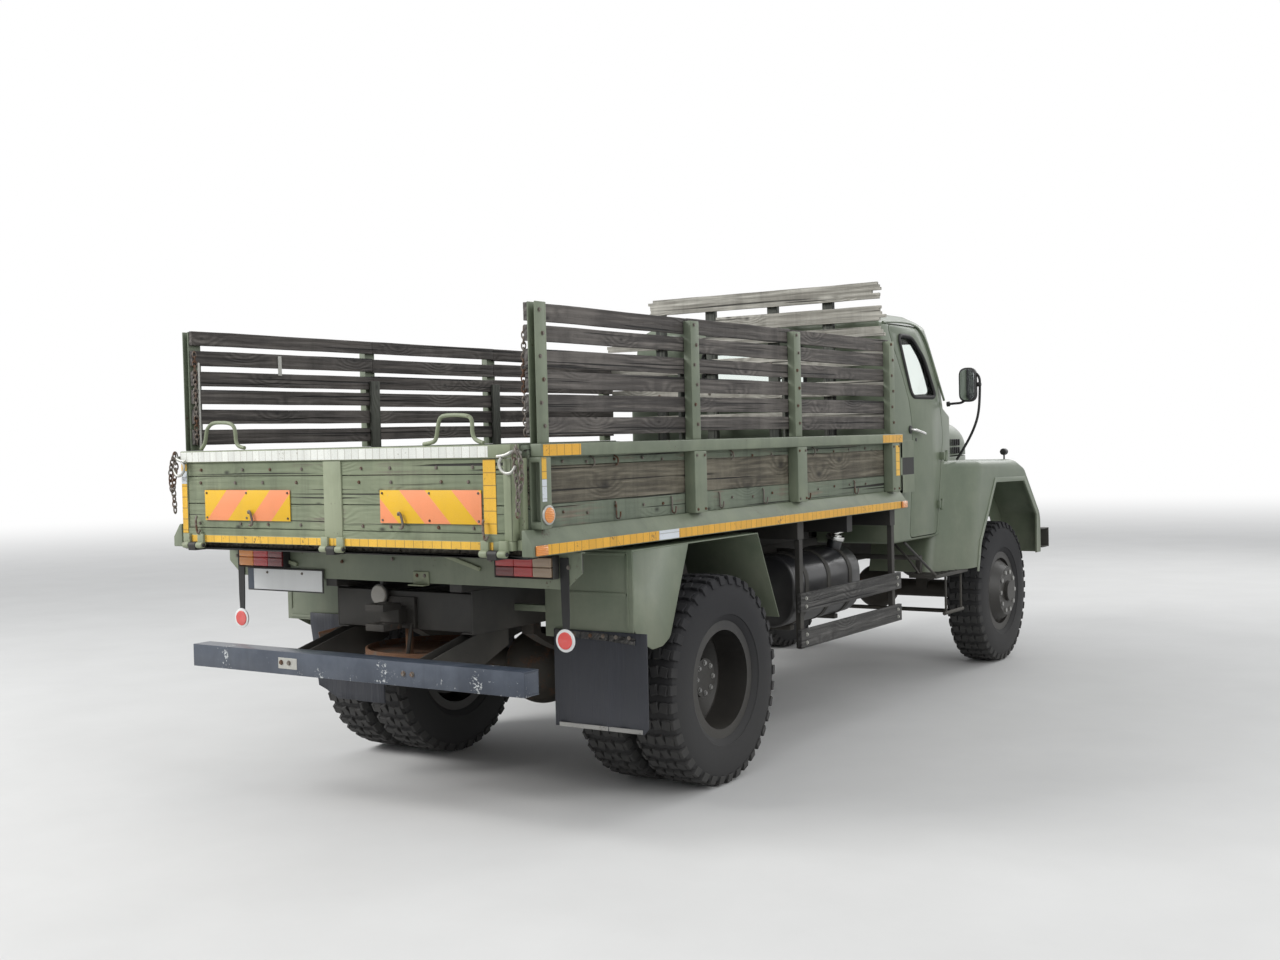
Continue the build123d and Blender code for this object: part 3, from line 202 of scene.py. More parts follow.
def makeWeather():
    # dust that gathers low down, chipped spots, rain streaks and a cloudy mottle
    group, source, sink = newGroup(
        "weather",
        [("Vector", "vector", 0), ("Dust Height", "value", 1.2), ("Chip Level", "value", 0.68), ("Streak Scale", "value", 9.0)],
        [("Dust", "value"), ("Chips", "value"), ("Streaks", "value"), ("Mottle", "value"), ("Height", "value")],
    )
    place = source.outputs["Vector"]
    mottle = noiseAt(group, place, 2.3, 7.0, 0.62)
    coarse = noiseAt(group, place, 7.0, 3.0)
    fine = noiseAt(group, place, 75.0, 5.0, 0.7)
    mixed = calc(group, "MULTIPLY_ADD", coarse, 0.45, calc(group, "MULTIPLY", fine, 0.55))
    edge = calc(group, "ADD", source.outputs["Chip Level"], 0.025)
    chips = addNode(group, "ShaderNodeMapRange", {"Value": mixed, "From Min": source.outputs["Chip Level"], "From Max": edge}, interpolation_type="SMOOTHSTEP").outputs["Result"]
    stretched = scaled(group, place, (1.0, 1.0, 0.07))
    streaks = noiseAt(group, stretched, source.outputs["Streak Scale"], 5.0, 0.7)
    streaks = stepMask(group, streaks, 0.42, 0.78)
    height = addNode(group, "ShaderNodeSeparateXYZ", {0: place}).outputs["Z"]
    low = calc(group, "DIVIDE", height, source.outputs["Dust Height"])
    low = calc(group, "SUBTRACT", 1.0, low)
    dust = calc(group, "MULTIPLY_ADD", mottle, 0.9, low)
    dust = stepMask(group, dust, 0.35, 1.25)
    bump = calc(group, "MULTIPLY_ADD", fine, 0.25, calc(group, "MULTIPLY", chips, -0.5))
    for label, value in (("Dust", dust), ("Chips", chips), ("Streaks", streaks), ("Mottle", mottle), ("Height", bump)):
        group.links.new(value, sink.inputs[label])
    return group


def makeGrain():
    # board grain along local X, with rings, knots, cracks and a tone for each row of boards
    group, source, sink = newGroup(
        "boardGrain",
        [("Vector", "vector", 0), ("Row", "value", 0.0), ("Knot Size", "value", 0.06)],
        [("Grain", "value"), ("Rings", "value"), ("Knots", "value"), ("Cracks", "value"), ("Tone", "value"), ("Height", "value")],
    )
    row = calc(group, "FLOOR", source.outputs["Row"])
    toss = addNode(group, "ShaderNodeTexWhiteNoise", {"W": row}, noise_dimensions="1D")
    move = calc(group, "MULTIPLY", toss.outputs["Value"], 31.0)
    shift = addNode(group, "ShaderNodeCombineXYZ", {0: move, 1: move, 2: move})
    place = addNode(group, "ShaderNodeVectorMath", {0: source.outputs["Vector"], 1: shift.outputs[0]}, operation="ADD").outputs[0]
    grain = noiseAt(group, scaled(group, place, (1.7, 48.0, 48.0)), 1.0, 7.0, 0.68, 0.3)
    split = addNode(group, "ShaderNodeSeparateXYZ", {0: place})
    crossways = calc(group, "ADD", split.outputs["Y"], split.outputs["Z"])
    knotPlace = addNode(group, "ShaderNodeCombineXYZ", {0: calc(group, "MULTIPLY", split.outputs["X"], 2.1), 1: calc(group, "MULTIPLY", crossways, 4.2)}).outputs[0]
    cells = addNode(group, "ShaderNodeTexVoronoi", {"Vector": knotPlace, "Scale": 1.0, "Randomness": 1.0}, voronoi_dimensions="2D")
    size = source.outputs["Knot Size"]
    knots = addNode(group, "ShaderNodeMapRange", {"Value": cells.outputs["Distance"], "From Min": 0.0, "From Max": size, "To Min": 1.0, "To Max": 0.0}, interpolation_type="SMOOTHSTEP").outputs["Result"]
    near = addNode(group, "ShaderNodeMapRange", {"Value": cells.outputs["Distance"], "From Min": 0.0, "From Max": 0.35, "To Min": 2.5, "To Max": 0.0}, interpolation_type="SMOOTHSTEP").outputs["Result"]
    flow = noiseAt(group, scaled(group, place, (0.9, 3.0, 7.0)), 1.0, 3.0)
    phase = calc(group, "MULTIPLY_ADD", flow, 22.0, calc(group, "MULTIPLY", near, 6.0))
    phase = calc(group, "MULTIPLY_ADD", crossways, 190.0, phase)
    rings = calc(group, "MULTIPLY_ADD", calc(group, "SINE", phase), 0.5, 0.5)
    cracks = noiseAt(group, scaled(group, place, (0.8, 20.0, 75.0)), 1.0, 2.0, 0.5)
    cracks = stepMask(group, cracks, 0.62, 0.68)
    height = calc(group, "MULTIPLY_ADD", grain, 0.6, calc(group, "MULTIPLY", rings, 0.25))
    height = calc(group, "MULTIPLY_ADD", cracks, -0.9, height)
    outputs = (("Grain", grain), ("Rings", rings), ("Knots", knots), ("Cracks", cracks), ("Tone", toss.outputs["Value"]), ("Height", height))
    for label, value in outputs:
        group.links.new(value, sink.inputs[label])
    return group


def makeRust():
    group, source, sink = newGroup(
        "rustPatches",
        [("Vector", "vector", 0), ("Level", "value", 0.5)],
        [("Mask", "value"), ("Tone", "value"), ("Height", "value")],
    )
    place = source.outputs["Vector"]
    coarse = noiseAt(group, place, 6.0, 7.0, 0.7)
    fine = noiseAt(group, place, 90.0, 4.0, 0.7)
    mixed = calc(group, "MULTIPLY_ADD", coarse, 0.8, calc(group, "MULTIPLY", fine, 0.2))
    top = calc(group, "ADD", source.outputs["Level"], 0.09)
    mask = addNode(group, "ShaderNodeMapRange", {"Value": mixed, "From Min": source.outputs["Level"], "From Max": top}, interpolation_type="SMOOTHSTEP").outputs["Result"]
    group.links.new(mask, sink.inputs["Mask"])
    group.links.new(fine, sink.inputs["Tone"])
    group.links.new(calc(group, "MULTIPLY", calc(group, "ADD", fine, mask), 0.5), sink.inputs["Height"])
    return group


groups = {"weather": makeWeather(), "boardGrain": makeGrain(), "rustPatches": makeRust()}


def fillGroup(tree, name, values):
    node = tree.nodes.new("ShaderNodeGroup")
    node.node_tree = groups[name]
    for key, value in values.items():
        if isinstance(value, bpy.types.NodeSocket):
            tree.links.new(value, node.inputs[key])
        else:
            node.inputs[key].default_value = value
    return node


def blend(tree, amount, first, second):
    node = addNode(tree, "ShaderNodeMixRGB")
    for index, value in enumerate((amount, first, second)):
        if isinstance(value, bpy.types.NodeSocket):
            tree.links.new(value, node.inputs[index])
        elif index and len(value) == 3:
            node.inputs[index].default_value = (*value, 1)
        else:
            node.inputs[index].default_value = value
    return node.outputs[0]


def startMaterial(name):
    material = bpy.data.materials.new(name)
    material.use_nodes = True
    tree = material.node_tree
    tree.nodes.clear()
    shader = tree.nodes.new("ShaderNodeBsdfPrincipled")
    addNode(tree, "ShaderNodeOutputMaterial", {"Surface": shader.outputs[0]})
    place = addNode(tree, "ShaderNodeTexCoord").outputs["Object"]
    return material, tree, shader, place


def addBump(tree, shader, height, distance, strength=1.0):
    bump = addNode(tree, "ShaderNodeBump", {"Height": height, "Distance": distance, "Strength": strength})
    tree.links.new(bump.outputs[0], shader.inputs["Normal"])


def feed(tree, socket, value):
    if isinstance(value, bpy.types.NodeSocket):
        tree.links.new(value, socket)
    elif hasattr(value, "__len__") and len(value) == 3:
        socket.default_value = (*value, 1)
    else:
        socket.default_value = value


def paintedSteel(name, base, faded, under, roughness=0.5, chip=0.66, dustHeight=1.2, dust=0.35, streak=0.35, coat=0.0, metal=0.0):
    # painted sheet and sections: faded patches, chips to primer, rain streaks and road dust
    material, tree, shader, place = startMaterial(name)
    marks = fillGroup(tree, "weather", {"Vector": place, "Chip Level": chip, "Dust Height": dustHeight})
    colour = blend(tree, stepMask(tree, marks.outputs["Mottle"], 0.35, 0.68), base, faded)
    dark = tuple(part * 0.55 for part in base)
    colour = blend(tree, calc(tree, "MULTIPLY", marks.outputs["Streaks"], streak), colour, dark)
    dusty = calc(tree, "MULTIPLY", marks.outputs["Dust"], dust)
    colour = blend(tree, dusty, colour, (0.30, 0.27, 0.215))
    colour = blend(tree, marks.outputs["Chips"], colour, under)
    feed(tree, shader.inputs["Base Color"], colour)
    rough = calc(tree, "MULTIPLY_ADD", marks.outputs["Mottle"], 0.25, roughness - 0.12)
    rough = calc(tree, "ADD", rough, calc(tree, "MULTIPLY", dusty, 0.5))
    feed(tree, shader.inputs["Roughness"], rough)
    shader.inputs["Metallic"].default_value = metal
    shader.inputs["Coat Weight"].default_value = coat
    shader.inputs["Coat Roughness"].default_value = 0.18
    addBump(tree, shader, marks.outputs["Height"], 0.0012)
    return material


def weatheredWood(name, along, rowAxis, rowStart, rowPitch, tones, paint=None, cover=0.5, knots=0.06):
    # boards with grain along one axis; paint, where given, is worn away in patches
    material, tree, shader, place = startMaterial(name)
    turn = {"X": (0, 0, 0), "Y": (0, 0, -pi / 2), "Z": (0, pi / 2, 0)}[along]
    laid = addNode(tree, "ShaderNodeMapping", {"Vector": place, "Rotation": turn}).outputs[0]
    parts = addNode(tree, "ShaderNodeSeparateXYZ", {0: place})
    row = calc(tree, "DIVIDE", calc(tree, "SUBTRACT", parts.outputs[rowAxis], rowStart), rowPitch)
    grain = fillGroup(tree, "boardGrain", {"Vector": laid, "Row": row, "Knot Size": knots})
    marks = fillGroup(tree, "weather", {"Vector": place, "Chip Level": 0.62, "Dust Height": 0.6})
    dark, middle, light = tones
    colour = blend(tree, grain.outputs["Tone"], dark, middle)
    colour = blend(tree, stepMask(tree, grain.outputs["Grain"], 0.40, 0.72), colour, light)
    colour = blend(tree, calc(tree, "MULTIPLY", grain.outputs["Rings"], 0.55), colour, dark)
    colour = blend(tree, stepMask(tree, marks.outputs["Mottle"], 0.45, 0.75), colour, blend(tree, 0.5, middle, light))
    deep = tuple(part * 0.22 for part in dark)
    if paint:
        worn = calc(tree, "MULTIPLY_ADD", grain.outputs["Grain"], 0.55, calc(tree, "MULTIPLY", marks.outputs["Mottle"], 0.6))
        worn = calc(tree, "MULTIPLY_ADD", grain.outputs["Tone"], 0.12, worn)
        kept = addNode(tree, "ShaderNodeMapRange", {"Value": worn, "From Min": cover, "From Max": cover + 0.09, "To Min": 1.0, "To Max": 0.0}).outputs["Result"]
        coat = blend(tree, stepMask(tree, marks.outputs["Mottle"], 0.35, 0.7), paint[0], paint[1])
        coat = blend(tree, calc(tree, "MULTIPLY", grain.outputs["Grain"], 0.35), coat, paint[0])
        colour = blend(tree, kept, colour, coat)
    colour = blend(tree, calc(tree, "MULTIPLY", marks.outputs["Streaks"], 0.35), colour, deep)
    colour = blend(tree, grain.outputs["Cracks"], colour, deep)
    colour = blend(tree, calc(tree, "MULTIPLY", grain.outputs["Knots"], 0.85), colour, deep)
    feed(tree, shader.inputs["Base Color"], colour)
    feed(tree, shader.inputs["Roughness"], calc(tree, "MULTIPLY_ADD", grain.outputs["Grain"], 0.25, 0.62))
    addBump(tree, shader, grain.outputs["Height"], 0.007 if not paint else 0.005)
    return material


def rustySteel(name, metal, level, roughness=0.6, dust=0.25, tint=(0.16, 0.065, 0.03)):
    # bare or blackened metal with rust patches and dust on it
    material, tree, shader, place = startMaterial(name)
    rust = fillGroup(tree, "rustPatches", {"Vector": place, "Level": level})
    marks = fillGroup(tree, "weather", {"Vector": place, "Chip Level": 0.66, "Dust Height": 1.3})
    brown = blend(tree, rust.outputs["Tone"], tuple(part * 0.4 for part in tint), tint)
    colour = blend(tree, rust.outputs["Mask"], metal, brown)
    colour = blend(tree, calc(tree, "MULTIPLY", marks.outputs["Dust"], dust), colour, (0.30, 0.26, 0.20))
    colour = blend(tree, marks.outputs["Chips"], colour, tuple(min(1, part * 2.2 + 0.02) for part in metal))
    feed(tree, shader.inputs["Base Color"], colour)
    feed(tree, shader.inputs["Roughness"], calc(tree, "MULTIPLY_ADD", rust.outputs["Mask"], 0.3, roughness))
    shader.inputs["Metallic"].default_value = 0.25
    addBump(tree, shader, rust.outputs["Height"], 0.0015)
    return material


def rubber(name, base, dusty, roughness=0.75, creases=0.0):
    material, tree, shader, place = startMaterial(name)
    marks = fillGroup(tree, "weather", {"Vector": place, "Chip Level": 0.66, "Dust Height": 0.9})
    colour = blend(tree, calc(tree, "MULTIPLY", marks.outputs["Dust"], 0.55), base, dusty)
    colour = blend(tree, calc(tree, "MULTIPLY", marks.outputs["Streaks"], creases), colour, tuple(part * 2.0 for part in base))
    feed(tree, shader.inputs["Base Color"], colour)
    feed(tree, shader.inputs["Roughness"], calc(tree, "MULTIPLY_ADD", marks.outputs["Mottle"], 0.25, roughness - 0.1))
    height = calc(tree, "ADD", marks.outputs["Height"], calc(tree, "MULTIPLY", marks.outputs["Streaks"], creases * 6))
    addBump(tree, shader, height, 0.0015)
    return material


def tapeCells(name, along, cell, colour, edge):
    # reflective tape: cells along one axis with dirty joints and a fine honeycomb
    material, tree, shader, place = startMaterial(name)
    parts = addNode(tree, "ShaderNodeSeparateXYZ", {0: place})
    value = calc(tree, "DIVIDE", parts.outputs[along], cell)
    fraction = calc(tree, "FRACT", value)
    joint = calc(tree, "SUBTRACT", 1.0, stepMask(tree, fraction, 0.03, 0.10))
    toss = addNode(tree, "ShaderNodeTexWhiteNoise", {"W": calc(tree, "FLOOR", value)}, noise_dimensions="1D").outputs["Value"]
    comb = addNode(tree, "ShaderNodeTexVoronoi", {"Vector": place, "Scale": 190.0}, feature="DISTANCE_TO_EDGE").outputs["Distance"]
    comb = calc(tree, "SUBTRACT", 1.0, stepMask(tree, comb, 0.02, 0.10))
    marks = fillGroup(tree, "weather", {"Vector": place, "Chip Level": 0.60, "Dust Height": 1.2})
    tone = blend(tree, calc(tree, "MULTIPLY", toss, 0.5), colour, tuple(part * 0.72 for part in colour))
    tone = blend(tree, calc(tree, "MULTIPLY", comb, 0.30), tone, tuple(part * 0.45 for part in colour))
    tone = blend(tree, calc(tree, "MULTIPLY", marks.outputs["Streaks"], 0.35), tone, tuple(part * 0.5 for part in colour))
    tone = blend(tree, marks.outputs["Chips"], tone, edge)
    tone = blend(tree, calc(tree, "MULTIPLY", joint, 0.8), tone, edge)
    feed(tree, shader.inputs["Base Color"], tone)
    feed(tree, shader.inputs["Roughness"], calc(tree, "MULTIPLY_ADD", marks.outputs["Mottle"], 0.3, 0.2))
    addBump(tree, shader, calc(tree, "MULTIPLY", joint, -1.0), 0.0006)
    return material


def stripedBoard(name, lean):
    # marker board with broad slanted stripes in two colours
    material, tree, shader, place = startMaterial(name)
    parts = addNode(tree, "ShaderNodeSeparateXYZ", {0: place})
    value = calc(tree, "MULTIPLY_ADD", parts.outputs["Z"], lean, parts.outputs["X"])
    fraction = calc(tree, "FRACT", calc(tree, "MULTIPLY_ADD", value, 1 / 0.29, 0.5))
    band = stepMask(tree, fraction, 0.49, 0.50)
    marks = fillGroup(tree, "weather", {"Vector": place, "Chip Level": 0.66, "Dust Height": 1.0})
    comb = addNode(tree, "ShaderNodeTexVoronoi", {"Vector": place, "Scale": 260.0}, feature="DISTANCE_TO_EDGE").outputs["Distance"]
    comb = calc(tree, "SUBTRACT", 1.0, stepMask(tree, comb, 0.02, 0.12))
    colour = blend(tree, band, (0.90, 0.30, 0.13), (0.80, 0.47, 0.012))
    colour = blend(tree, calc(tree, "MULTIPLY", comb, 0.12), colour, (0.45, 0.2, 0.04))
    colour = blend(tree, calc(tree, "MULTIPLY", marks.outputs["Streaks"], 0.12), colour, (0.4, 0.2, 0.08))
    colour = blend(tree, marks.outputs["Chips"], colour, (0.45, 0.35, 0.22))
    feed(tree, shader.inputs["Base Color"], colour)
    feed(tree, shader.inputs["Roughness"], calc(tree, "MULTIPLY_ADD", marks.outputs["Mottle"], 0.25, 0.28))
    addBump(tree, shader, comb, 0.0002)
    return material


def lampLens(name, colour, glow=0.0):
    # ribbed coloured plastic over a reflector
    material, tree, shader, place = startMaterial(name)
    parts = addNode(tree, "ShaderNodeSeparateXYZ", {0: place})
    ribs = calc(tree, "SINE", calc(tree, "MULTIPLY", parts.outputs["X"], 900.0))
    rows = calc(tree, "SINE", calc(tree, "MULTIPLY", parts.outputs["Z"], 900.0))
    height = calc(tree, "MULTIPLY", ribs, rows)
    marks = fillGroup(tree, "weather", {"Vector": place, "Dust Height": 1.6})
    tone = blend(tree, calc(tree, "MULTIPLY_ADD", height, 0.18, 0.25), colour, tuple(part * 0.35 for part in colour))
    tone = blend(tree, calc(tree, "MULTIPLY", marks.outputs["Dust"], 0.18), tone, (0.3, 0.27, 0.22))
    feed(tree, shader.inputs["Base Color"], tone)
    feed(tree, shader.inputs["Roughness"], calc(tree, "MULTIPLY_ADD", marks.outputs["Mottle"], 0.12, 0.08))
    shader.inputs["Coat Weight"].default_value = 0.6
    if glow:
        feed(tree, shader.inputs["Emission Color"], tone)
        shader.inputs["Emission Strength"].default_value = glow
    addBump(tree, shader, height, 0.0008)
    return material


def clearGlass(name, tint):
    # thin window glass with a dusty film
    material, tree, shader, place = startMaterial(name)
    marks = fillGroup(tree, "weather", {"Vector": place, "Dust Height": 2.6})
    film = calc(tree, "MULTIPLY_ADD", marks.outputs["Mottle"], 0.06, 0.02)
    feed(tree, shader.inputs["Base Color"], blend(tree, film, tint, (0.6, 0.58, 0.52)))
    feed(tree, shader.inputs["Roughness"], film)
    shader.inputs["Transmission Weight"].default_value = 1.0
    shader.inputs["IOR"].default_value = 1.1
    shader.inputs["Specular IOR Level"].default_value = 0.6
    return material


def mirrorGlass(name):
    material, tree, shader, place = startMaterial(name)
    marks = fillGroup(tree, "weather", {"Vector": place})
    feed(tree, shader.inputs["Base Color"], blend(tree, marks.outputs["Mottle"], (0.75, 0.78, 0.80), (0.62, 0.65, 0.67)))
    feed(tree, shader.inputs["Roughness"], calc(tree, "MULTIPLY", marks.outputs["Mottle"], 0.12))
    shader.inputs["Metallic"].default_value = 1.0
    return material


def vinyl(name, base, worn):
    # seat covering with a fine leather-like grain
    material, tree, shader, place = startMaterial(name)
    cells = addNode(tree, "ShaderNodeTexVoronoi", {"Vector": place, "Scale": 420.0}, feature="DISTANCE_TO_EDGE").outputs["Distance"]
    marks = fillGroup(tree, "weather", {"Vector": place, "Chip Level": 0.70, "Dust Height": 1.5})
    colour = blend(tree, stepMask(tree, marks.outputs["Mottle"], 0.4, 0.7), base, worn)
    colour = blend(tree, calc(tree, "MULTIPLY", calc(tree, "SUBTRACT", 1.0, stepMask(tree, cells, 0.0, 0.2)), 0.4), colour, tuple(part * 0.5 for part in base))
    feed(tree, shader.inputs["Base Color"], colour)
    feed(tree, shader.inputs["Roughness"], calc(tree, "MULTIPLY_ADD", marks.outputs["Mottle"], 0.3, 0.35))
    addBump(tree, shader, stepMask(tree, cells, 0.0, 0.25), 0.0006)
    return material


sage = (0.185, 0.215, 0.135)
sagePale = (0.27, 0.30, 0.20)
moss = (0.115, 0.145, 0.095)
mossPale = (0.165, 0.195, 0.135)
primer = (0.10, 0.065, 0.045)
paints = {
    "cab": paintedSteel("cabGreen", moss, mossPale, primer, 0.43, 0.70, 1.3, 0.24, 0.16, 0.13),
    "cabPale": paintedSteel("cabGreenPale", (0.17, 0.20, 0.145), (0.22, 0.25, 0.185), primer, 0.46, 0.68, 1.3, 0.24, 0.16, 0.12),
    "bed": paintedSteel("bedGreen", (0.14, 0.165, 0.115), (0.20, 0.23, 0.16), primer, 0.55, 0.625, 1.3, 0.28, 0.35),
    "gate": paintedSteel("gateGreen", (0.21, 0.24, 0.15), (0.30, 0.33, 0.22), primer, 0.55, 0.62, 1.3, 0.28, 0.38),
    "guard": paintedSteel("guardGreen", (0.12, 0.15, 0.10), (0.17, 0.20, 0.14), primer, 0.5, 0.66, 1.2, 0.35, 0.25),
    "frame": paintedSteel("frameBlack", (0.012, 0.012, 0.012), (0.024, 0.023, 0.021), (0.07, 0.035, 0.02), 0.6, 0.64, 1.3, 0.16, 0.3),
    "underride": paintedSteel("underrideBlue", (0.032, 0.042, 0.062), (0.07, 0.086, 0.115), (0.50, 0.52, 0.52), 0.36, 0.60, 0.8, 0.12, 0.4, 0.1),
    "rim": paintedSteel("rimBlack", (0.010, 0.010, 0.011), (0.020, 0.020, 0.020), (0.10, 0.10, 0.097), 0.42, 0.66, 1.1, 0.10, 0.2),
    "rimEdge": paintedSteel("rimEdge", (0.20, 0.20, 0.20), (0.42, 0.42, 0.40), (0.10, 0.09, 0.08), 0.34, 0.60, 1.0, 0.15, 0.2, 0.0, 0.4),
    "tank": paintedSteel("tankBlack", (0.008, 0.009, 0.012), (0.017, 0.018, 0.022), (0.08, 0.045, 0.03), 0.34, 0.68, 1.1, 0.14, 0.2, 0.35),
    "inside": paintedSteel("cabInside", (0.10, 0.12, 0.085), (0.14, 0.16, 0.12), (0.05, 0.05, 0.05), 0.55, 0.70, 1.8, 0.3, 0.1),
    "blackTrim": paintedSteel("blackTrim", (0.018, 0.018, 0.018), (0.035, 0.035, 0.034), (0.10, 0.10, 0.10), 0.5, 0.68, 1.2, 0.3, 0.15),
    "white": paintedSteel("plateWhite", (0.72, 0.73, 0.72), (0.78, 0.79, 0.78), (0.35, 0.33, 0.30), 0.35, 0.70, 0.9, 0.25, 0.15),
    "silver": paintedSteel("paleSteel", (0.42, 0.42, 0.39), (0.55, 0.55, 0.51), (0.22, 0.14, 0.09), 0.42, 0.62, 1.3, 0.2, 0.3, 0.0, 0.6),
    "chrome": paintedSteel("handleChrome", (0.62, 0.62, 0.60), (0.72, 0.72, 0.70), (0.3, 0.28, 0.25), 0.22, 0.72, 0.5, 0.1, 0.1, 0.0, 1.0),
    "iron": rustySteel("axleIron", (0.018, 0.017, 0.016), 0.56, 0.62, 0.16),
    "engine": rustySteel("engineIron", (0.05, 0.052, 0.05), 0.56, 0.55, 0.35),
    "rust": rustySteel("rustySteel", (0.10, 0.075, 0.06), 0.40, 0.72, 0.2, (0.24, 0.105, 0.05)),
    "chain": rustySteel("chainSteel", (0.16, 0.14, 0.12), 0.48, 0.45, 0.1, (0.15, 0.075, 0.04)),
    "tyre": rubber("tyreRubber", (0.012, 0.012, 0.014), (0.045, 0.044, 0.042), 0.82),
    "tread": rubber("treadRubber", (0.016, 0.016, 0.018), (0.075, 0.073, 0.068), 0.88),
    "flap": rubber("flapRubber", (0.013, 0.015, 0.022), (0.05, 0.052, 0.06), 0.5, 0.45),
    "seal": rubber("sealRubber", (0.014, 0.014, 0.014), (0.04, 0.04, 0.038), 0.6),
    "sideTape": tapeCells("sideTape", "Y", 0.052, (0.80, 0.42, 0.035), (0.22, 0.12, 0.03)),
    "gateTape": tapeCells("gateTape", "X", 0.052, (0.84, 0.50, 0.06), (0.24, 0.14, 0.04)),
    "postTape": tapeCells("postTape", "Z", 0.052, (0.86, 0.50, 0.05), (0.26, 0.15, 0.04)),
    "whiteTape": tapeCells("whiteTape", "X", 0.0415, (0.83, 0.84, 0.78), (0.36, 0.34, 0.28)),
    "whitePost": tapeCells("whitePostTape", "Z", 0.05, (0.72, 0.76, 0.80), (0.34, 0.34, 0.32)),
    "stripeLeft": stripedBoard("stripesLeft", -1.0),
    "stripeRight": stripedBoard("stripesRight", 1.0),
    "redLens": lampLens("redLens", (0.42, 0.012, 0.018), 0.15),
    "darkRedLens": lampLens("darkRedLens", (0.17, 0.010, 0.014), 0.05),
    "amberLens": lampLens("amberLens", (0.78, 0.26, 0.03), 0.1),
    "clearLens": lampLens("clearLens", (0.42, 0.30, 0.20), 0.05),
    # the red reflector disc glows though it is no lamp: a painted glow on a reflector
    "redDiscPaintedGlow": lampLens("redDiscPaintedGlow", (0.72, 0.015, 0.012), 0.25),
    "lampGlass": lampLens("lampGlass", (0.34, 0.32, 0.28), 0.05),
    "whiteLens": lampLens("whiteLens", (0.72, 0.73, 0.72), 0.05),
    "glass": clearGlass("windowGlass", (0.93, 0.97, 0.95)),
    "mirror": mirrorGlass("mirrorGlass"),
    "seat": vinyl("seatVinyl", (0.035, 0.033, 0.03), (0.075, 0.07, 0.06)),
    "slat": weatheredWood("slatWood", "Y", "Z", 1.6985, 0.094, ((0.030, 0.026, 0.024), (0.075, 0.066, 0.060), (0.19, 0.172, 0.155)), knots=0.045),
    "bare": weatheredWood("bareBoard", "Y", "Z", 1.42, 0.158, ((0.030, 0.025, 0.017), (0.105, 0.092, 0.064), (0.27, 0.245, 0.185)), knots=0.12),
    "sideBoard": weatheredWood("sideBoard", "Y", "Z", 1.32, 0.13, ((0.045, 0.036, 0.026), (0.115, 0.095, 0.07), (0.24, 0.205, 0.155)), ((0.125, 0.15, 0.11), (0.19, 0.22, 0.16)), 0.70),
    "gateBoard": weatheredWood("gateBoard", "X", "Z", 1.31, 0.12, ((0.045, 0.04, 0.03), (0.11, 0.10, 0.075), (0.24, 0.215, 0.165)), ((0.17, 0.20, 0.125), (0.25, 0.28, 0.18)), 0.72),
    # pale board tones for the middle and broken top headboard rows: painted sunlight on them
    "headPaintedSunlight": weatheredWood("headBoardPaintedSunlight", "X", "Z", 1.25, 0.115, ((0.20, 0.19, 0.16), (0.38, 0.36, 0.31), (0.62, 0.60, 0.53)), knots=0.07),
    "headLow": weatheredWood("headLowBoard", "X", "Z", 1.25, 0.115, ((0.06, 0.055, 0.045), (0.12, 0.11, 0.09), (0.2, 0.185, 0.155)), ((0.13, 0.155, 0.105), (0.19, 0.215, 0.15)), 0.66),
    "floor": weatheredWood("floorWood", "Y", "X", -0.99, 0.165, ((0.05, 0.042, 0.033), (0.11, 0.095, 0.075), (0.20, 0.18, 0.145))),
    "plank": weatheredWood("guardPlank", "Y", "Z", 0.53, 0.195, ((0.022, 0.021, 0.020), (0.055, 0.053, 0.050), (0.13, 0.125, 0.118)), knots=0.05),
    "post": weatheredWood("battenWood", "Z", "Y", -2.5, 0.6, ((0.028, 0.03, 0.026), (0.07, 0.075, 0.062), (0.13, 0.135, 0.11))),
}
print("materials made", len(paints))

# modelling helpers


def openPiece(name):
    # an empty mesh in edit mode; primitives are added straight into it at their places
    bpy.ops.object.select_all(action="DESELECT")
    piece = bpy.data.objects.new(name, bpy.data.meshes.new(name))
    scene.collection.objects.link(piece)
    piece.select_set(True)
    bpy.context.view_layer.objects.active = piece
    bpy.ops.object.mode_set(mode="EDIT")
    return piece


def addBar(low, high, turn=(0, 0, 0)):
    bpy.ops.mesh.select_all(action="DESELECT")
    middle = [(a + b) / 2 for a, b in zip(low, high)]
    size = [abs(b - a) for a, b in zip(low, high)]
    bpy.ops.mesh.primitive_cube_add(size=1, location=middle, rotation=turn, scale=size)


def addRod(start, end, radius, sides=16):
    bpy.ops.mesh.select_all(action="DESELECT")
    way = Vector(end) - Vector(start)
    bpy.ops.mesh.primitive_cylinder_add(
        vertices=sides, radius=radius, depth=way.length,
        location=(Vector(start) + Vector(end)) / 2, rotation=way.to_track_quat("Z", "Y").to_euler(),
    )


def addPlate(piece, corners, axis, near, far):
    # an outline laid on the two other axes and drawn out along one
    first, second = (index for index in range(3) if index != axis)
    bpy.ops.mesh.select_all(action="DESELECT")
    bpy.ops.mesh.primitive_circle_add(vertices=len(corners), radius=0.1, fill_type="NGON")
    bpy.ops.object.mode_set(mode="OBJECT")
    for vertex, (across, up) in zip(list(piece.data.vertices)[-len(corners):], corners):
        vertex.co[axis], vertex.co[first], vertex.co[second] = near, across, up
    bpy.ops.object.mode_set(mode="EDIT")
    step = [0.0, 0.0, 0.0]
    step[axis] = far - near
    bpy.ops.mesh.extrude_region_move(TRANSFORM_OT_translate={"value": step})
    bpy.ops.mesh.select_linked()
    bpy.ops.mesh.normals_make_consistent(inside=False)


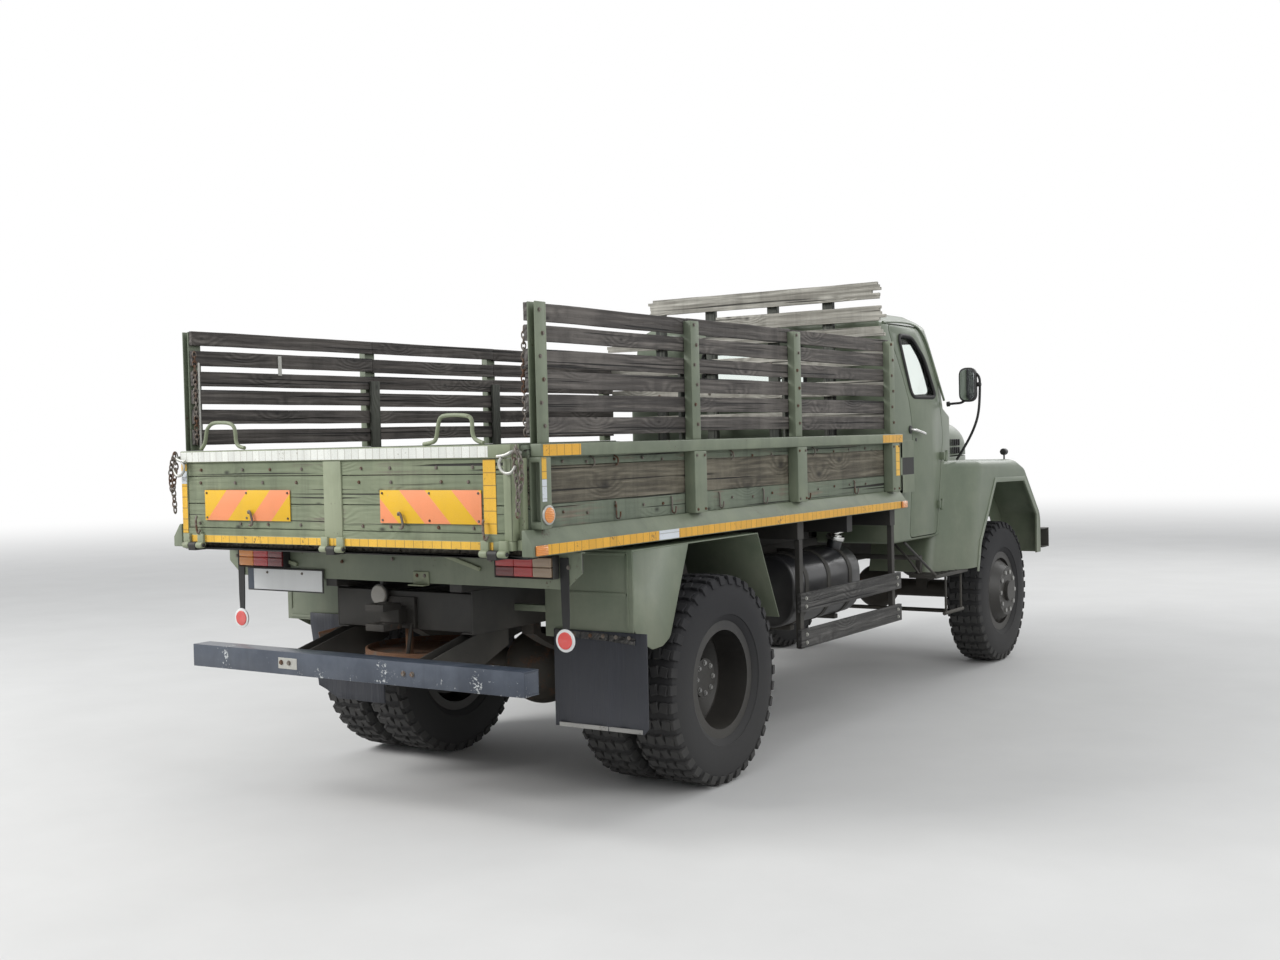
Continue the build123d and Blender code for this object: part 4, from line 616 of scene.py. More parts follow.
def softened(piece, width, segments=2, limit=50):
    if piece.mode == "EDIT":
        bpy.ops.object.mode_set(mode="OBJECT")
    bpy.context.view_layer.objects.active = piece
    soft = piece.modifiers.new("softEdges", "BEVEL")
    soft.width = width
    soft.segments = segments
    soft.limit_method = "ANGLE"
    soft.angle_limit = radians(limit)
    soft.use_clamp_overlap = True
    bpy.ops.object.modifier_apply(modifier="softEdges")


def warped(piece, amount, scale):
    # slow waves along a board, from a clouds texture read in the piece's own place
    texture = bpy.data.textures.new(piece.name + "Waves", "CLOUDS")
    texture.noise_scale = scale
    texture.noise_depth = 2
    wave = piece.modifiers.new("waves", "DISPLACE")
    wave.texture = texture
    wave.texture_coords = "LOCAL"
    wave.mid_level = 0.5
    wave.strength = amount
    wave.direction = "RGB_TO_XYZ"
    bpy.context.view_layer.objects.active = piece
    bpy.ops.object.modifier_apply(modifier="waves")


def finish(piece, body, material, nodes=(), bevel=0.0, segments=2, angle=35):
    if piece.mode == "EDIT":
        bpy.ops.object.mode_set(mode="OBJECT")
    bpy.ops.object.select_all(action="DESELECT")
    piece.select_set(True)
    bpy.context.view_layer.objects.active = piece
    if bevel:
        softened(piece, bevel, segments)
    bpy.ops.object.shade_smooth_by_angle(angle=radians(angle))
    if not piece.data.materials:
        piece.data.materials.append(paints[material])
    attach(piece, body)
    if nodes:
        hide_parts(*nodes)
    return piece


def bentRods(name, runs, radius, order=3):
    # round bars that follow smooth runs, made into one mesh
    curve = bpy.data.curves.new(name, "CURVE")
    curve.dimensions = "3D"
    curve.bevel_depth = radius
    curve.bevel_resolution = 3
    curve.use_fill_caps = True
    curve.resolution_u = 6
    for points in runs:
        spline = curve.splines.new("NURBS")
        spline.points.add(len(points) - 1)
        for point, place in zip(spline.points, points):
            point.co = (*place, 1)
        spline.order_u = min(order, len(points))
        spline.use_endpoint_u = True
    piece = bpy.data.objects.new(name, curve)
    scene.collection.objects.link(piece)
    bpy.ops.object.select_all(action="DESELECT")
    piece.select_set(True)
    bpy.context.view_layer.objects.active = piece
    bpy.ops.object.convert(target="MESH")
    return bpy.context.object


def copies(model, name, places):
    # one model set down at each place and joined; the model itself is removed
    twins = []
    for place in places:
        twin = model.copy()
        twin.data = model.data.copy()
        scene.collection.objects.link(twin)
        twin.data.transform(place)
        twins.append(twin)
    bpy.ops.object.select_all(action="DESELECT")
    for twin in twins:
        twin.select_set(True)
    bpy.context.view_layer.objects.active = twins[0]
    if len(twins) > 1:
        bpy.ops.object.join()
    piece = bpy.context.view_layer.objects.active
    piece.name = name
    piece.data.name = name
    bpy.data.objects.remove(model, do_unlink=True)
    return piece


def facing(point, way, spin=0.0):
    turn = Vector(way).to_track_quat("Z", "Y").to_matrix().to_4x4()
    return Matrix.Translation(point) @ turn @ Matrix.Rotation(spin, 4, "Z")


def bolts(name, spots, body, material="chain", size=0.009):
    # hexagon heads on washers, at (point, outward direction)
    model = openPiece(name + "Model")
    addRod((0, 0, 0), (0, 0, size * 0.25), size * 1.35, 12)
    addRod((0, 0, size * 0.25), (0, 0, size * 0.95), size, 6)
    bpy.ops.object.mode_set(mode="OBJECT")
    places = [facing(point, way, index * 0.7) for index, (point, way) in enumerate(spots)]
    piece = copies(model, name, places)
    return finish(piece, body, material, angle=30)


def paintNode(node, material):
    part = frame["nodes"][node]
    if part.material_slots:
        for slot in part.material_slots:
            slot.material = paints[material]
    else:
        part.data.materials.append(paints[material])


def rounded(corners, radius, steps=5):
    # the corners of an outline drawn as short arcs
    points = []
    for index, corner in enumerate(corners):
        here = Vector(corner)
        before = Vector(corners[index - 1]) - here
        after = Vector(corners[(index + 1) % len(corners)]) - here
        reach = min(radius, before.length * 0.45, after.length * 0.45)
        start, end = here + before.normalized() * reach, here + after.normalized() * reach
        for step in range(steps + 1):
            part = step / steps
            points.append(tuple(start * (1 - part) ** 2 + here * 2 * part * (1 - part) + end * part ** 2))
    return points


def shrunk(corners, distance):
    # a counter-clockwise outline moved inwards
    lines = []
    for index, corner in enumerate(corners):
        way = (Vector(corners[(index + 1) % len(corners)]) - Vector(corner)).normalized()
        lines.append((Vector(corner) + Vector((-way.y, way.x)) * distance, way))
    points = []
    for index, (second, onward) in enumerate(lines):
        first, inward = lines[index - 1]
        points.append(tuple(first + inward * ((second - first).cross(onward) / inward.cross(onward))))
    return points


def plateTool(corners, axis, near, far):
    tool = openPiece("tool")
    addPlate(tool, corners, axis, near, far)
    bpy.ops.object.mode_set(mode="OBJECT")
    return tool


def blockTool(low, high):
    tool = openPiece("tool")
    addBar(low, high)
    bpy.ops.object.mode_set(mode="OBJECT")
    return tool


def cutWith(piece, tools, operation="DIFFERENCE"):
    bpy.ops.object.select_all(action="DESELECT")
    piece.select_set(True)
    bpy.context.view_layer.objects.active = piece
    for tool in tools:
        change = piece.modifiers.new("cut", "BOOLEAN")
        change.operation = operation
        change.solver = "EXACT"
        change.object = tool
        bpy.ops.object.modifier_apply(modifier="cut")
        bpy.data.objects.remove(tool, do_unlink=True)


def pickEdges(piece, wanted):
    # leaves the piece open with only the wanted edges picked
    bpy.context.view_layer.objects.active = piece
    bpy.ops.object.mode_set(mode="EDIT")
    bpy.ops.mesh.select_mode(type="EDGE")
    bpy.ops.mesh.select_all(action="DESELECT")
    bpy.ops.object.mode_set(mode="OBJECT")
    for edge in piece.data.edges:
        first, second = (piece.data.vertices[index].co for index in edge.vertices)
        edge.select = wanted(first, second)
    bpy.ops.object.mode_set(mode="EDIT")


def edgesRounded(piece, wanted, offset, segments):
    pickEdges(piece, wanted)
    bpy.ops.mesh.bevel(offset=offset, segments=segments, affect="EDGES", clamp_overlap=True)
    bpy.ops.mesh.select_mode(type="VERT")
    bpy.ops.object.mode_set(mode="OBJECT")


def twinOf(piece, name):
    twin = bpy.data.objects.new(name, piece.data.copy())
    twin.data.name = name
    scene.collection.objects.link(twin)
    return twin


def trimmed(planes):
    # cuts the open piece by planes and closes each cut
    for point, way in planes:
        bpy.ops.mesh.select_all(action="SELECT")
        bpy.ops.mesh.bisect(plane_co=point, plane_no=way, use_fill=True, clear_outer=True)


def mirroredTwin(piece, name):
    twin = twinOf(piece, name)
    twin.data.transform(Matrix.Scale(-1, 4, (1, 0, 0)))
    bpy.ops.object.select_all(action="DESELECT")
    twin.select_set(True)
    bpy.context.view_layer.objects.active = twin
    bpy.ops.object.mode_set(mode="EDIT")
    bpy.ops.mesh.select_all(action="SELECT")
    bpy.ops.mesh.flip_normals()
    bpy.ops.object.mode_set(mode="OBJECT")
    return twin


def softCopy(node, name, body, material, width=0.003, segments=2):
    # the frame part again, merged, with its sheet edges rolled over
    piece = bpy.data.objects.new(name, frame["nodes"][node].data.copy())
    piece.data.name = name
    piece.data.materials.clear()
    scene.collection.objects.link(piece)
    bpy.ops.object.select_all(action="DESELECT")
    piece.select_set(True)
    bpy.context.view_layer.objects.active = piece
    bpy.ops.object.mode_set(mode="EDIT")
    bpy.ops.mesh.select_all(action="SELECT")
    bpy.ops.mesh.remove_doubles(threshold=0.0001)
    bpy.ops.mesh.dissolve_limited(angle_limit=radians(0.5))
    return finish(piece, body, material, (node,), width, segments)


coats = {
    "chassis_frame": "frame", "bed_bearers": "bed", "bed_edge_frame": "bed", "rear_mudguards": "guard",
    "tail_beam": "gate", "underride_bar": "underride", "spare_wheel_pan": "rust", "tow_hitch": "iron",
    "rear_axle": "iron", "front_axle": "iron", "leaf_springs": "iron", "engine_block": "engine",
    "gearbox_and_shafts": "iron", "fuel_tank": "tank", "battery_box": "tank", "exhaust_pipe": "rust",
    "cab_shell": "cab", "right_door": "cab", "left_door": "cab", "bonnet": "cab", "nose_shell": "cab",
    "front_fenders": "cab", "front_bumper": "frame", "cab_steps": "frame", "cab_mounts": "seal",
    "cab_fittings": "inside", "cab_glass": "glass", "right_door_glass": "glass", "left_door_glass": "glass",
    "right_knuckle": "iron", "left_knuckle": "iron", "tie_rod": "iron",
    "right_front_wheel": "rim", "left_front_wheel": "rim", "right_rear_wheels": "rim", "left_rear_wheels": "rim",
    "right_mirror": "blackTrim", "left_mirror": "blackTrim", "steering_wheel": "seal", "headlamps": "cab",
    "bench_seat": "seat", "bed_floor": "floor", "side_guard_planks": "plank", "licence_plate": "white",
}
for node, material in coats.items():
    paintNode(node, material)
print("frame painted")

# load bed
bed = {
    "end": -3.27, "front": 0.45, "base": 1.22, "top": 1.675, "half": 1.09, "boardOut": 1.03, "boardIn": 0.99,
    "slatIn": 1.008, "rackTop": 2.253, "railEnd": -3.22, "stations": (-3.1806, -1.9792, -0.9264, 0.3105), "face": -3.31,
}
base = bed["base"]


def lengthened(piece, axis, cuts):
    # cuts a board into short lengths so that it can wave a little
    bpy.ops.object.mode_set(mode="EDIT")
    bpy.ops.mesh.select_all(action="DESELECT")
    bpy.ops.object.mode_set(mode="OBJECT")
    for edge in piece.data.edges:
        first, second = (piece.data.vertices[index].co for index in edge.vertices)
        way = second - first
        edge.select = abs(way[axis]) > 0.7 * way.length and way.length > 0.25
    bpy.ops.object.mode_set(mode="EDIT")
    bpy.ops.mesh.select_mode(type="EDGE")
    bpy.ops.mesh.subdivide(number_cuts=cuts)
    bpy.ops.mesh.select_mode(type="VERT")
    bpy.ops.object.mode_set(mode="OBJECT")


def boards(name, rows, axis, cuts, wave, body, material, nodes=(), bevel=0.003):
    piece = openPiece(name)
    for low, high in rows:
        addBar(low, high)
    bpy.ops.object.mode_set(mode="OBJECT")
    lengthened(piece, axis, cuts)
    softened(piece, bevel, 2)
    if wave:
        warped(piece, wave, 0.35)
    return finish(piece, body, material, nodes)


rowHeights = ((0.0, 0.098), (0.102, 0.202), (0.206, 0.358), (0.362, 0.449))
for side, name in ((1, "right"), (-1, "left")):
    inner, outer = sorted((side * bed["boardIn"], side * bed["boardOut"]))
    painted, bare = [], []
    for index, (low, high) in enumerate(rowHeights):
        row = ((inner + 0.002, bed["end"] + 0.04, base + low), (outer - 0.002, bed["front"] - 0.045, base + high))
        (bare if index == 2 else painted).append(row)
    boards(name + "SideBoards", painted, 1, 24, 0.003, "chassis", "sideBoard", (name + "_side_panel",), 0.004)
    boards(name + "BareBoard", bare, 1, 24, 0.003, "chassis", "bare", (name + "_side_panel",), 0.004)
rails = openPiece("topRails")
for side in (-1, 1):
    low, high = sorted((side * (bed["boardOut"] + 0.0005), side * bed["half"]))
    addBar((low, bed["railEnd"], 1.62), (high, bed["front"] - 0.03, bed["top"]))
finish(rails, "chassis", "bed", ("right_side_panel", "left_side_panel"), 0.006, 3)
brackets = openPiece("postBrackets")
for side in (-1, 1):
    low, high = sorted((side * 1.0385, side * 1.0415))
    addBar((low, 0.452, 1.527), (high, 0.70, 1.634))
    addBar((low, 0.452, 1.31), (high, 0.70, 1.421))
    addBar((low, 0.452, 1.31), (high, 0.515, 1.634))
finish(brackets, "chassis", "bed", (), 0.001, 1)
# a thin black sheet in the open middle of each bracket is painted shade in its hollow
hollowShadePanel = openPiece("postBracketHollowShade")
for side in (-1, 1):
    low, high = sorted((side * 1.0385, side * 1.0395))
    addBar((low, 0.514, 1.42), (high, 0.698, 1.528))
finish(hollowShadePanel, "chassis", "frame", (), 0.0003, 1)
softCopy("bed_edge_frame", "bedEdgeFrame", "chassis", "bed", 0.005, 3)
softCopy("bed_bearers", "bedBearers", "chassis", "frame", 0.002, 1)
print("side boards made")

random.seed(4)
for side, name in ((1, "right"), (-1, "left")):
    inner, outer = sorted((side * bed["slatIn"], side * bed["boardOut"]))
    rows = []
    for row in range(6):
        high = bed["rackTop"] - row * 0.094
        breaks = [bed["railEnd"] + 0.007] + list(bed["stations"][1:3]) + [bed["front"] - 0.09]
        for start, end in zip(breaks, breaks[1:]):
            drop = random.uniform(-0.006, 0.004)
            trim = random.uniform(0.0, 0.007)
            rows.append(((inner + 0.001, start + 0.001, high - 0.075 + drop + trim), (outer - 0.001, end - 0.001, high + min(drop, 0))))
    boards(name + "Slats", rows, 1, 9, 0.005, "chassis", "slat", (name + "_slat_rack",), 0.003)
    posts = openPiece(name + "RackPosts")
    postLow, postHigh = sorted((side * bed["boardOut"], side * (bed["boardOut"] + 0.042)))
    for station in bed["stations"][1:]:
        addBar((postLow, station - 0.0375, 1.676), (postHigh, station + 0.0375, 2.235))
    # the tail post is a channel: two thin walls and a web, open towards the tail
    tail = bed["stations"][0]
    addBar((postLow, tail + 0.025, 1.676), (postHigh, tail + 0.0375, 2.25))
    for wall in (postLow, postHigh - 0.006):
        addBar((wall, tail - 0.0375, 1.676), (wall + 0.006, tail + 0.03, 2.25))
    finish(posts, "chassis", "bed", (name + "_slat_rack",), 0.003, 2)
    battens = openPiece(name + "RackBattens")
    battenLow, battenHigh = sorted((side * bed["boardIn"], side * (bed["slatIn"] - 0.001)))
    for station in bed["stations"][1:3]:
        addBar((battenLow, station - 0.034, 1.67), (battenHigh, station + 0.034, 2.035))
    finish(battens, "chassis", "post", (name + "_slat_rack",), 0.004, 2)
    spots = []
    for station in bed["stations"]:
        for row in range(6):
            z = bed["rackTop"] - row * 0.094 - 0.037
            if z < 2.22:
                spots.append(((side * (bed["boardOut"] + 0.042), station + (row % 2 - 0.5) * 0.02, z), (side, 0, 0)))
    bolts(name + "RackBolts", spots, "chassis", size=0.007)
print("racks made")

# headboard: rows of boards on posts, the upper ones split and broken
headRows = (
    (-0.988, 0.988, 0.002, 0.084), (-0.988, 0.988, 0.09, 0.245), (-0.988, 0.988, 0.255, 0.41),
    (-1.006, 1.006, 0.52, 0.61), (-1.006, 1.006, 0.70, 0.79), (-1.006, 1.006, 0.88, 0.97),
)
brokenRows = ((-1.04, 1.04, 1.055, 1.115), (-0.20, 1.038, 1.149, 1.24), (-0.695, 0.99, 1.283, 1.385))
headFace = bed["front"] - 0.11


# the lower rows keep their darker painted boards; the middle rows take the pale board colour that paints sunlight on
# them
for name, chosen, material in (("headBoardsLow", headRows[:3], "headLow"), ("headBoardsMiddle", headRows[3:], "headPaintedSunlight")):
    rows = [((left, headFace + 0.001, base + low), (right, headFace + 0.024, base + high)) for left, right, low, high in chosen]
    boards(name, rows, 0, 14, 0.004, "chassis", material, ("headboard",))
# the broken top rows take the same pale board colour, painted sunlight
ragged = openPiece("headBoardsTop")
for left, right, low, high in brokenRows:
    steps = max(3, round((high - low) / 0.018))
    for step in range(steps):
        z = low + (high - low) * step / steps
        addBar((left + random.uniform(0, 0.05), headFace + 0.001, base + z), (right - random.uniform(0, 0.06), headFace + 0.024, base + z + (high - low) / steps))
bpy.ops.mesh.select_all(action="SELECT")
bpy.ops.mesh.remove_doubles(threshold=0.0004)
bpy.ops.object.mode_set(mode="OBJECT")
lengthened(ragged, 0, 16)
warped(ragged, 0.006, 0.3)
finish(ragged, "chassis", "headPaintedSunlight", ("headboard",), 0.0015, 1)
headPosts = openPiece("headPosts")
for x in (-0.62, -0.23, 0.23, 0.62):
    addBar((x - 0.035, headFace + 0.026, base), (x + 0.035, headFace + 0.065, base + 1.305))
bpy.ops.object.mode_set(mode="OBJECT")
finish(headPosts, "chassis", "post", ("headboard",), 0.004, 2)
spots = [((x, headFace, base + z), (0, -1, 0)) for x in (-0.62, -0.23, 0.23, 0.62) for z in (0.16, 0.33, 0.565, 0.745, 0.925, 1.085)]
bolts("headBolts", spots, "chassis", size=0.007)
print("headboard made")

# floor planks with gaps
rows = []
for index in range(12):
    left = -0.99 + index * 0.165
    rows.append(((left + 0.002, bed["face"] + 0.072, base + 0.001), (left + 0.163, headFace - 0.001, base + 0.05)))
boards("floorPlanks", rows, 1, 10, 0.003, "chassis", "floor", ("bed_floor",), 0.003)

# tailgate
gate = {"face": -3.31, "half": 1.0, "centre": 0.054, "end": 0.04, "hinges": (-0.91, 0.0, 0.91), "pin": (-3.322, 1.232)}
gateRows = ((0.025, 0.092, 0.004, 0.044), (0.095, 0.205, 0.008, 0.04), (0.209, 0.333, 0.008, 0.04), (0.337, 0.398, 0.008, 0.04))
rows = [((-gate["half"] + 0.01, gate["face"] + inset, base + low), (gate["half"] - 0.01, gate["face"] + inset + thick, base + high)) for low, high, inset, thick in gateRows]
boards("gateBoards", rows, 0, 20, 0.003, "tailgate", "gateBoard", ("tailgate",), 0.004)
gatePosts = openPiece("gatePosts")
face, half = gate["face"], gate["half"]
addBar((-half, face, base + 0.40), (half, face + 0.06, base + 0.455))
addBar((-half + 0.002, face + 0.002, base + 0.025), (half - 0.002, face + 0.05, base + 0.062))
addBar((-gate["centre"], face + 0.001, base + 0.027), (gate["centre"], face + 0.057, base + 0.398))
for side in (-1, 1):
    # each end is a channel that opens backwards: a pale flange, a dark web
    edge, flange = side * (half - 0.001), side * (half - 0.042)
    addBar((min(edge, flange), face + 0.003, base + 0.063), (max(edge, flange), face + 0.009, base + 0.399))
    addBar((min(edge, edge - side * 0.006), face + 0.003, base + 0.063), (max(edge, edge - side * 0.006), face + 0.056, base + 0.399))
    inner = side * (half - 0.078)
    addBar((min(inner, flange), face + 0.022, base + 0.063), (max(inner, flange), face + 0.03, base + 0.399))
for middle in gate["hinges"]:
    for side in (-1, 1):
        first, second = sorted((middle + side * 0.027, middle + side * 0.068))
        addRod((first, gate["pin"][0], gate["pin"][1]), (second, gate["pin"][0], gate["pin"][1]), 0.015, 20)
        addBar((first, face - 0.012, base + 0.012), (second, face + 0.007, base + 0.066))
finish(gatePosts, "tailgate", "gate", ("tailgate",), 0.0035, 2)
gripRuns = (
    ((-0.873, 1.684), (-0.846, 1.70), (-0.832, 1.762), (-0.822, 1.783), (-0.789, 1.805), (-0.73, 1.806), (-0.669, 1.802), (-0.640, 1.786), (-0.632, 1.755), (-0.6305, 1.712), (-0.612, 1.690), (-0.573, 1.685)),
    ((0.524, 1.683), (0.575, 1.688), (0.595, 1.703), (0.604, 1.75), (0.614, 1.786), (0.634, 1.80), (0.70, 1.801), (0.768, 1.7965), (0.788, 1.783), (0.791, 1.76), (0.7895, 1.7195), (0.808, 1.692), (0.847, 1.683)),
)
finish(bentRods("gateHandles", [[(x, face + 0.02, z) for x, z in run] for run in gripRuns], 0.0088), "tailgate", "gate", ("tailgate",), angle=60)
print("tailgate made")

tape = {"thick": 0.0015, "lip": 0.0004}


def tapeStrip(name, strips, body, material, nodes=()):
    piece = openPiece(name)
    for low, high in strips:
        addBar(low, high)
    return finish(piece, body, material, nodes, 0.0005, 1)


gf = gate["face"]
tapeStrip("gateTopTape", [((-0.997, gf - 0.0015, base + 0.404), (0.885, gf + 0.001, base + 0.450))], "tailgate", "whiteTape")
tapeStrip("gateEndTape", [((0.852, gf + 0.0055, base + 0.068), (0.917, gf + 0.0078, base + 0.395)), ((-0.996, gf + 0.001, base + 0.068), (-0.960, gf + 0.0035, base + 0.300)), ((-0.996, gf + 0.001, base + 0.362), (-0.960, gf + 0.0035, base + 0.395))], "tailgate", "postTape")
tapeStrip("gateWhiteCell", [((-0.996, gf + 0.001, base + 0.301), (-0.960, gf + 0.0035, base + 0.361))], "tailgate", "whitePost")
tapeStrip("gateLowTape", [((-0.94, gf + 0.0002, base + 0.027), (0.90, gf + 0.0025, base + 0.059))], "tailgate", "gateTape")
for name, left, right, material in (("leftMarker", -0.836, -0.268, "stripeLeft"), ("rightMarker", 0.282, 0.842, "stripeRight")):
    board = openPiece(name + "Board")
    addBar((left, gf + 0.0015, base + 0.13), (right, gf + 0.0065, base + 0.271))
    finish(board, "tailgate", material, ("marker_boards",), 0.0015, 2)
    spots = []
    for x in (left + 0.014, (left + right) / 2, right - 0.014):
        for z in (base + 0.143, base + 0.258):
            spots.append(((x, gf + 0.0015, z), (0, -1, 0)))
    bolts(name + "Rivets", spots, "tailgate", size=0.0042)
random.seed(9)
spots = []
for x in (-0.86, -0.6, -0.42, -0.2, 0.16, 0.36, 0.6, 0.78):
    for z in (0.365, 0.305, 0.115):
        spots.append(((x + random.uniform(-0.03, 0.03), gf + 0.008, base + z), (0, -1, 0)))
bolts("gateBolts", spots, "tailgate", size=0.006)
hooks = []
for x, z in ((-0.52, 0.155), (0.405, 0.155)):
    y = gf - 0.006
    hooks.append([(x - 0.012, y, base + z + 0.01), (x - 0.008, y - 0.006, base + z + 0.022), (x + 0.006, y - 0.006, base + z + 0.018), (x + 0.018, y - 0.004, base + z - 0.03), (x + 0.010, y - 0.004, base + z - 0.05), (x - 0.004, y - 0.004, base + z - 0.042)])
for x in (-0.885, 0.86):
    y = gf - 0.008
    hooks.append([(x, y, base + 0.15), (x, y - 0.008, base + 0.135), (x + 0.004, y - 0.008, base + 0.09), (x + 0.014, y - 0.006, base + 0.06), (x + 0.022, y - 0.002, base + 0.085)])
finish(bentRods("gateHooks", hooks, 0.0055), "tailgate", "chain", angle=60)
print("tail tape and hooks made")

# side tape, lamps and hooks
for side, name in ((1, "right"), (-1, "left")):
    out = side * bed["half"]
    near, far = sorted((out - side * 0.001, out + side * 0.0015))
    strips = [((near, -3.195, base + 0.004), (far, -2.362, base + 0.046)), ((near, -2.188, base + 0.004), (far, 0.365, base + 0.046))]
    tapeStrip(name + "SideTape", strips, "chassis", "sideTape")
    tapeStrip(name + "SideWhite", [((near, -2.36, base + 0.004), (far, -2.19, base + 0.046))], "chassis", "whitePost")
    posts = [((near, -3.21, 1.6245), (far, -2.95, 1.671)), ((near, 0.12, 1.6245), (far, 0.408, 1.671))]
    tapeStrip(name + "RailTape", posts, "chassis", "sideTape")
    verticals = [((near, -3.222, 1.532), (far, -3.192, 1.618)), ((near, 0.305, 1.4235), (far, 0.358, 1.606))]
    tapeStrip(name + "PostTape", verticals, "chassis", "postTape")
    tapeStrip(name + "PostWhite", [((near, -3.222, 1.44), (far, -3.192, 1.530))], "chassis", "whitePost")
    lamp = openPiece(name + "MarkerLamps")
    for y in (-3.241, 0.408):
        addBar((min(out, out + side * 0.012), y - 0.038, base + 0.004), (max(out, out + side * 0.012), y + 0.038, base + 0.046))
    finish(lamp, "chassis", "amberLens", (), 0.005, 3)
    reflector = openPiece(name + "SideReflectorRim")
    centre = (out, -3.188, 1.385)
    addRod(centre, (out + side * 0.008, centre[1], centre[2]), 0.041, 32)
    finish(reflector, "chassis", "silver", (), 0.003, 2)
    # the side reflector takes the amber lamp lens, whose glow is painted light on a reflector
    disc = openPiece(name + "SideReflector")
    addRod((out + side * 0.004, centre[1], centre[2]), (out + side * 0.012, centre[1], centre[2]), 0.032, 32)
    finish(disc, "chassis", "amberLens", (), 0.003, 3)
    hooks = []
    wall = side * (bed["boardOut"] + 0.001)
    for y in (-2.62, -2.16, -1.72, -1.27, -0.78, -0.17):
        z = 1.36
        out1, out2 = wall + side * 0.006, wall + side * 0.028
        hooks.append([(wall, y, z + 0.05), (out1, y, z + 0.055), (out1, y, z), (out1, y, z - 0.022), (out2, y, z - 0.026), (out2, y, z + 0.008)])
    for y in (-2.80, -2.62, -1.60, -0.70):
        z = 1.615
        out1, out2 = wall + side * 0.005, wall + side * 0.018
        hooks.append([(wall, y, z), (out1, y, z), (out2, y + 0.004, z - 0.012), (out2, y + 0.008, z - 0.035), (out1, y + 0.004, z - 0.045)])
    finish(bentRods(name + "TarpHooks", hooks, 0.004), "chassis", "chain", angle=60)
    spots = []
    for station in bed["stations"][1:]:
        for offset in (-0.035, 0.035):
            for z in (1.345, 1.60):
                spots.append(((side * bed["half"], station + offset, z), (side, 0, 0)))
    random.seed(12)
    for index in range(16):
        y = -3.0 + index * 0.2 + random.uniform(-0.04, 0.04)
        for z in (1.385, 1.595):
            if min(abs(y - s) for s in bed["stations"]) > 0.08:
                spots.append(((side * bed["boardOut"], y, z + random.uniform(-0.01, 0.01)), (side, 0, 0)))
    bolts(name + "SideBolts", spots, "chassis", size=0.0055)
print("sides dressed")

# chains at the rear corners


def chainPiece(name, paths, body, wire=0.0035, pitch=0.026):
    # links along smooth paths; each second link is turned a quarter
    bpy.ops.object.select_all(action="DESELECT")
    bpy.ops.mesh.primitive_torus_add(major_radius=pitch * 0.42, minor_radius=wire, major_segments=14, minor_segments=6)
    link = bpy.context.object
    bpy.ops.object.mode_set(mode="EDIT")
    bpy.ops.mesh.select_all(action="SELECT")
    bpy.ops.transform.resize(value=(1.55, 0.95, 1.0))
    bpy.ops.object.mode_set(mode="OBJECT")
    places = []
    for path in paths:
        points = [Vector(point) for point in path]
        lengths = [(b - a).length for a, b in zip(points, points[1:])]
        count = int(sum(lengths) / pitch)
        for index in range(count):
            target = (index + 0.5) * pitch
            segment = 0
            while segment < len(lengths) - 1 and target > lengths[segment]:
                target -= lengths[segment]
                segment += 1
            way = (points[segment + 1] - points[segment]).normalized()
            point = points[segment] + way * min(target, lengths[segment])
            turn = way.to_track_quat("X", "Z").to_matrix().to_4x4()
            places.append(Matrix.Translation(point) @ turn @ Matrix.Rotation(pi / 2 * (index % 2), 4, "X"))
    return finish(copies(link, name, places), body, "chain", angle=60)


for side, name in ((1, "right"), (-1, "left")):
    corner = openPiece(name + "CornerBar")
    first, second = sorted((side * 0.990, side * 1.024))
    addBar((first, -3.262, 1.272), (second, -3.231, 1.618))
    first, second = sorted((side * 1.004, side * 1.074))
    addBar((first, -3.284, 1.246), (second, -3.2305, 1.288))
    finish(corner, "chassis", "gate", (), 0.004, 2)
    x, y = side * 1.034, -3.312
    chainPiece(name + "CornerChain", [
        [(x, y, 1.668), (x - side * 0.010, y - 0.006, 1.60), (x + side * 0.010, y - 0.008, 1.50), (x + side * 0.004, y - 0.006, 1.385)],
        [(x, y - 0.004, 1.66), (x + side * 0.024, y - 0.006, 1.61), (x + side * 0.030, y - 0.008, 1.54), (x + side * 0.016, y - 0.008, 1.47)],
    ], "chassis")
    chainPiece(name + "RackChain", [[(side * 1.004, -3.205, 2.15), (side * 0.998, -3.208, 1.95), (side * 1.002, -3.205, 1.70)]], "chassis", 0.003, 0.022)
    hook = [[(x, y - 0.008, 1.59), (x - side * 0.012, y - 0.012, 1.562), (x - side * 0.045, y - 0.014, 1.556), (x - side * 0.075, y - 0.014, 1.575), (x - side * 0.082, y - 0.014, 1.608), (x - side * 0.066, y - 0.013, 1.622)]]
    hook.append([(side * 0.945, -3.326, 1.627), (side * 0.99, -3.328, 1.629), (side * 1.024, -3.318, 1.652), (side * 1.016, -3.262, 1.640)])
    finish(bentRods(name + "CornerHook", hook, 0.0068), "chassis", "silver", angle=60)
# a rod stands at the back of the left rack, and a strap lies over its top slats
stay = [[(-0.994, -3.19, 1.68), (-0.995, -3.19, 1.85), (-0.993, -3.19, 2.10)]]
finish(bentRods("leftRackStay", stay, 0.006), "chassis", "silver", angle=60)
strap = openPiece("leftRackStrap")
addBar((-1.0075, -2.672, 2.05), (-1.0035, -2.648, 2.15))
finish(strap, "chassis", "silver", (), 0.001, 1)
print("chains made")

# tyres
tyre = {"half": 0.1295, "radius": 0.509, "pitches": 38, "sides": 72}
profile = [
    (0.094, 0.256), (0.096, 0.282), (0.108, 0.292), (0.119, 0.315), (0.1245, 0.318), (0.1275, 0.350), (0.129, 0.385),
    (0.1275, 0.42), (0.1235, 0.447), (0.118, 0.468), (0.112, 0.482), (0.100, 0.490), (0.060, 0.4935), (0.0, 0.4945),
]


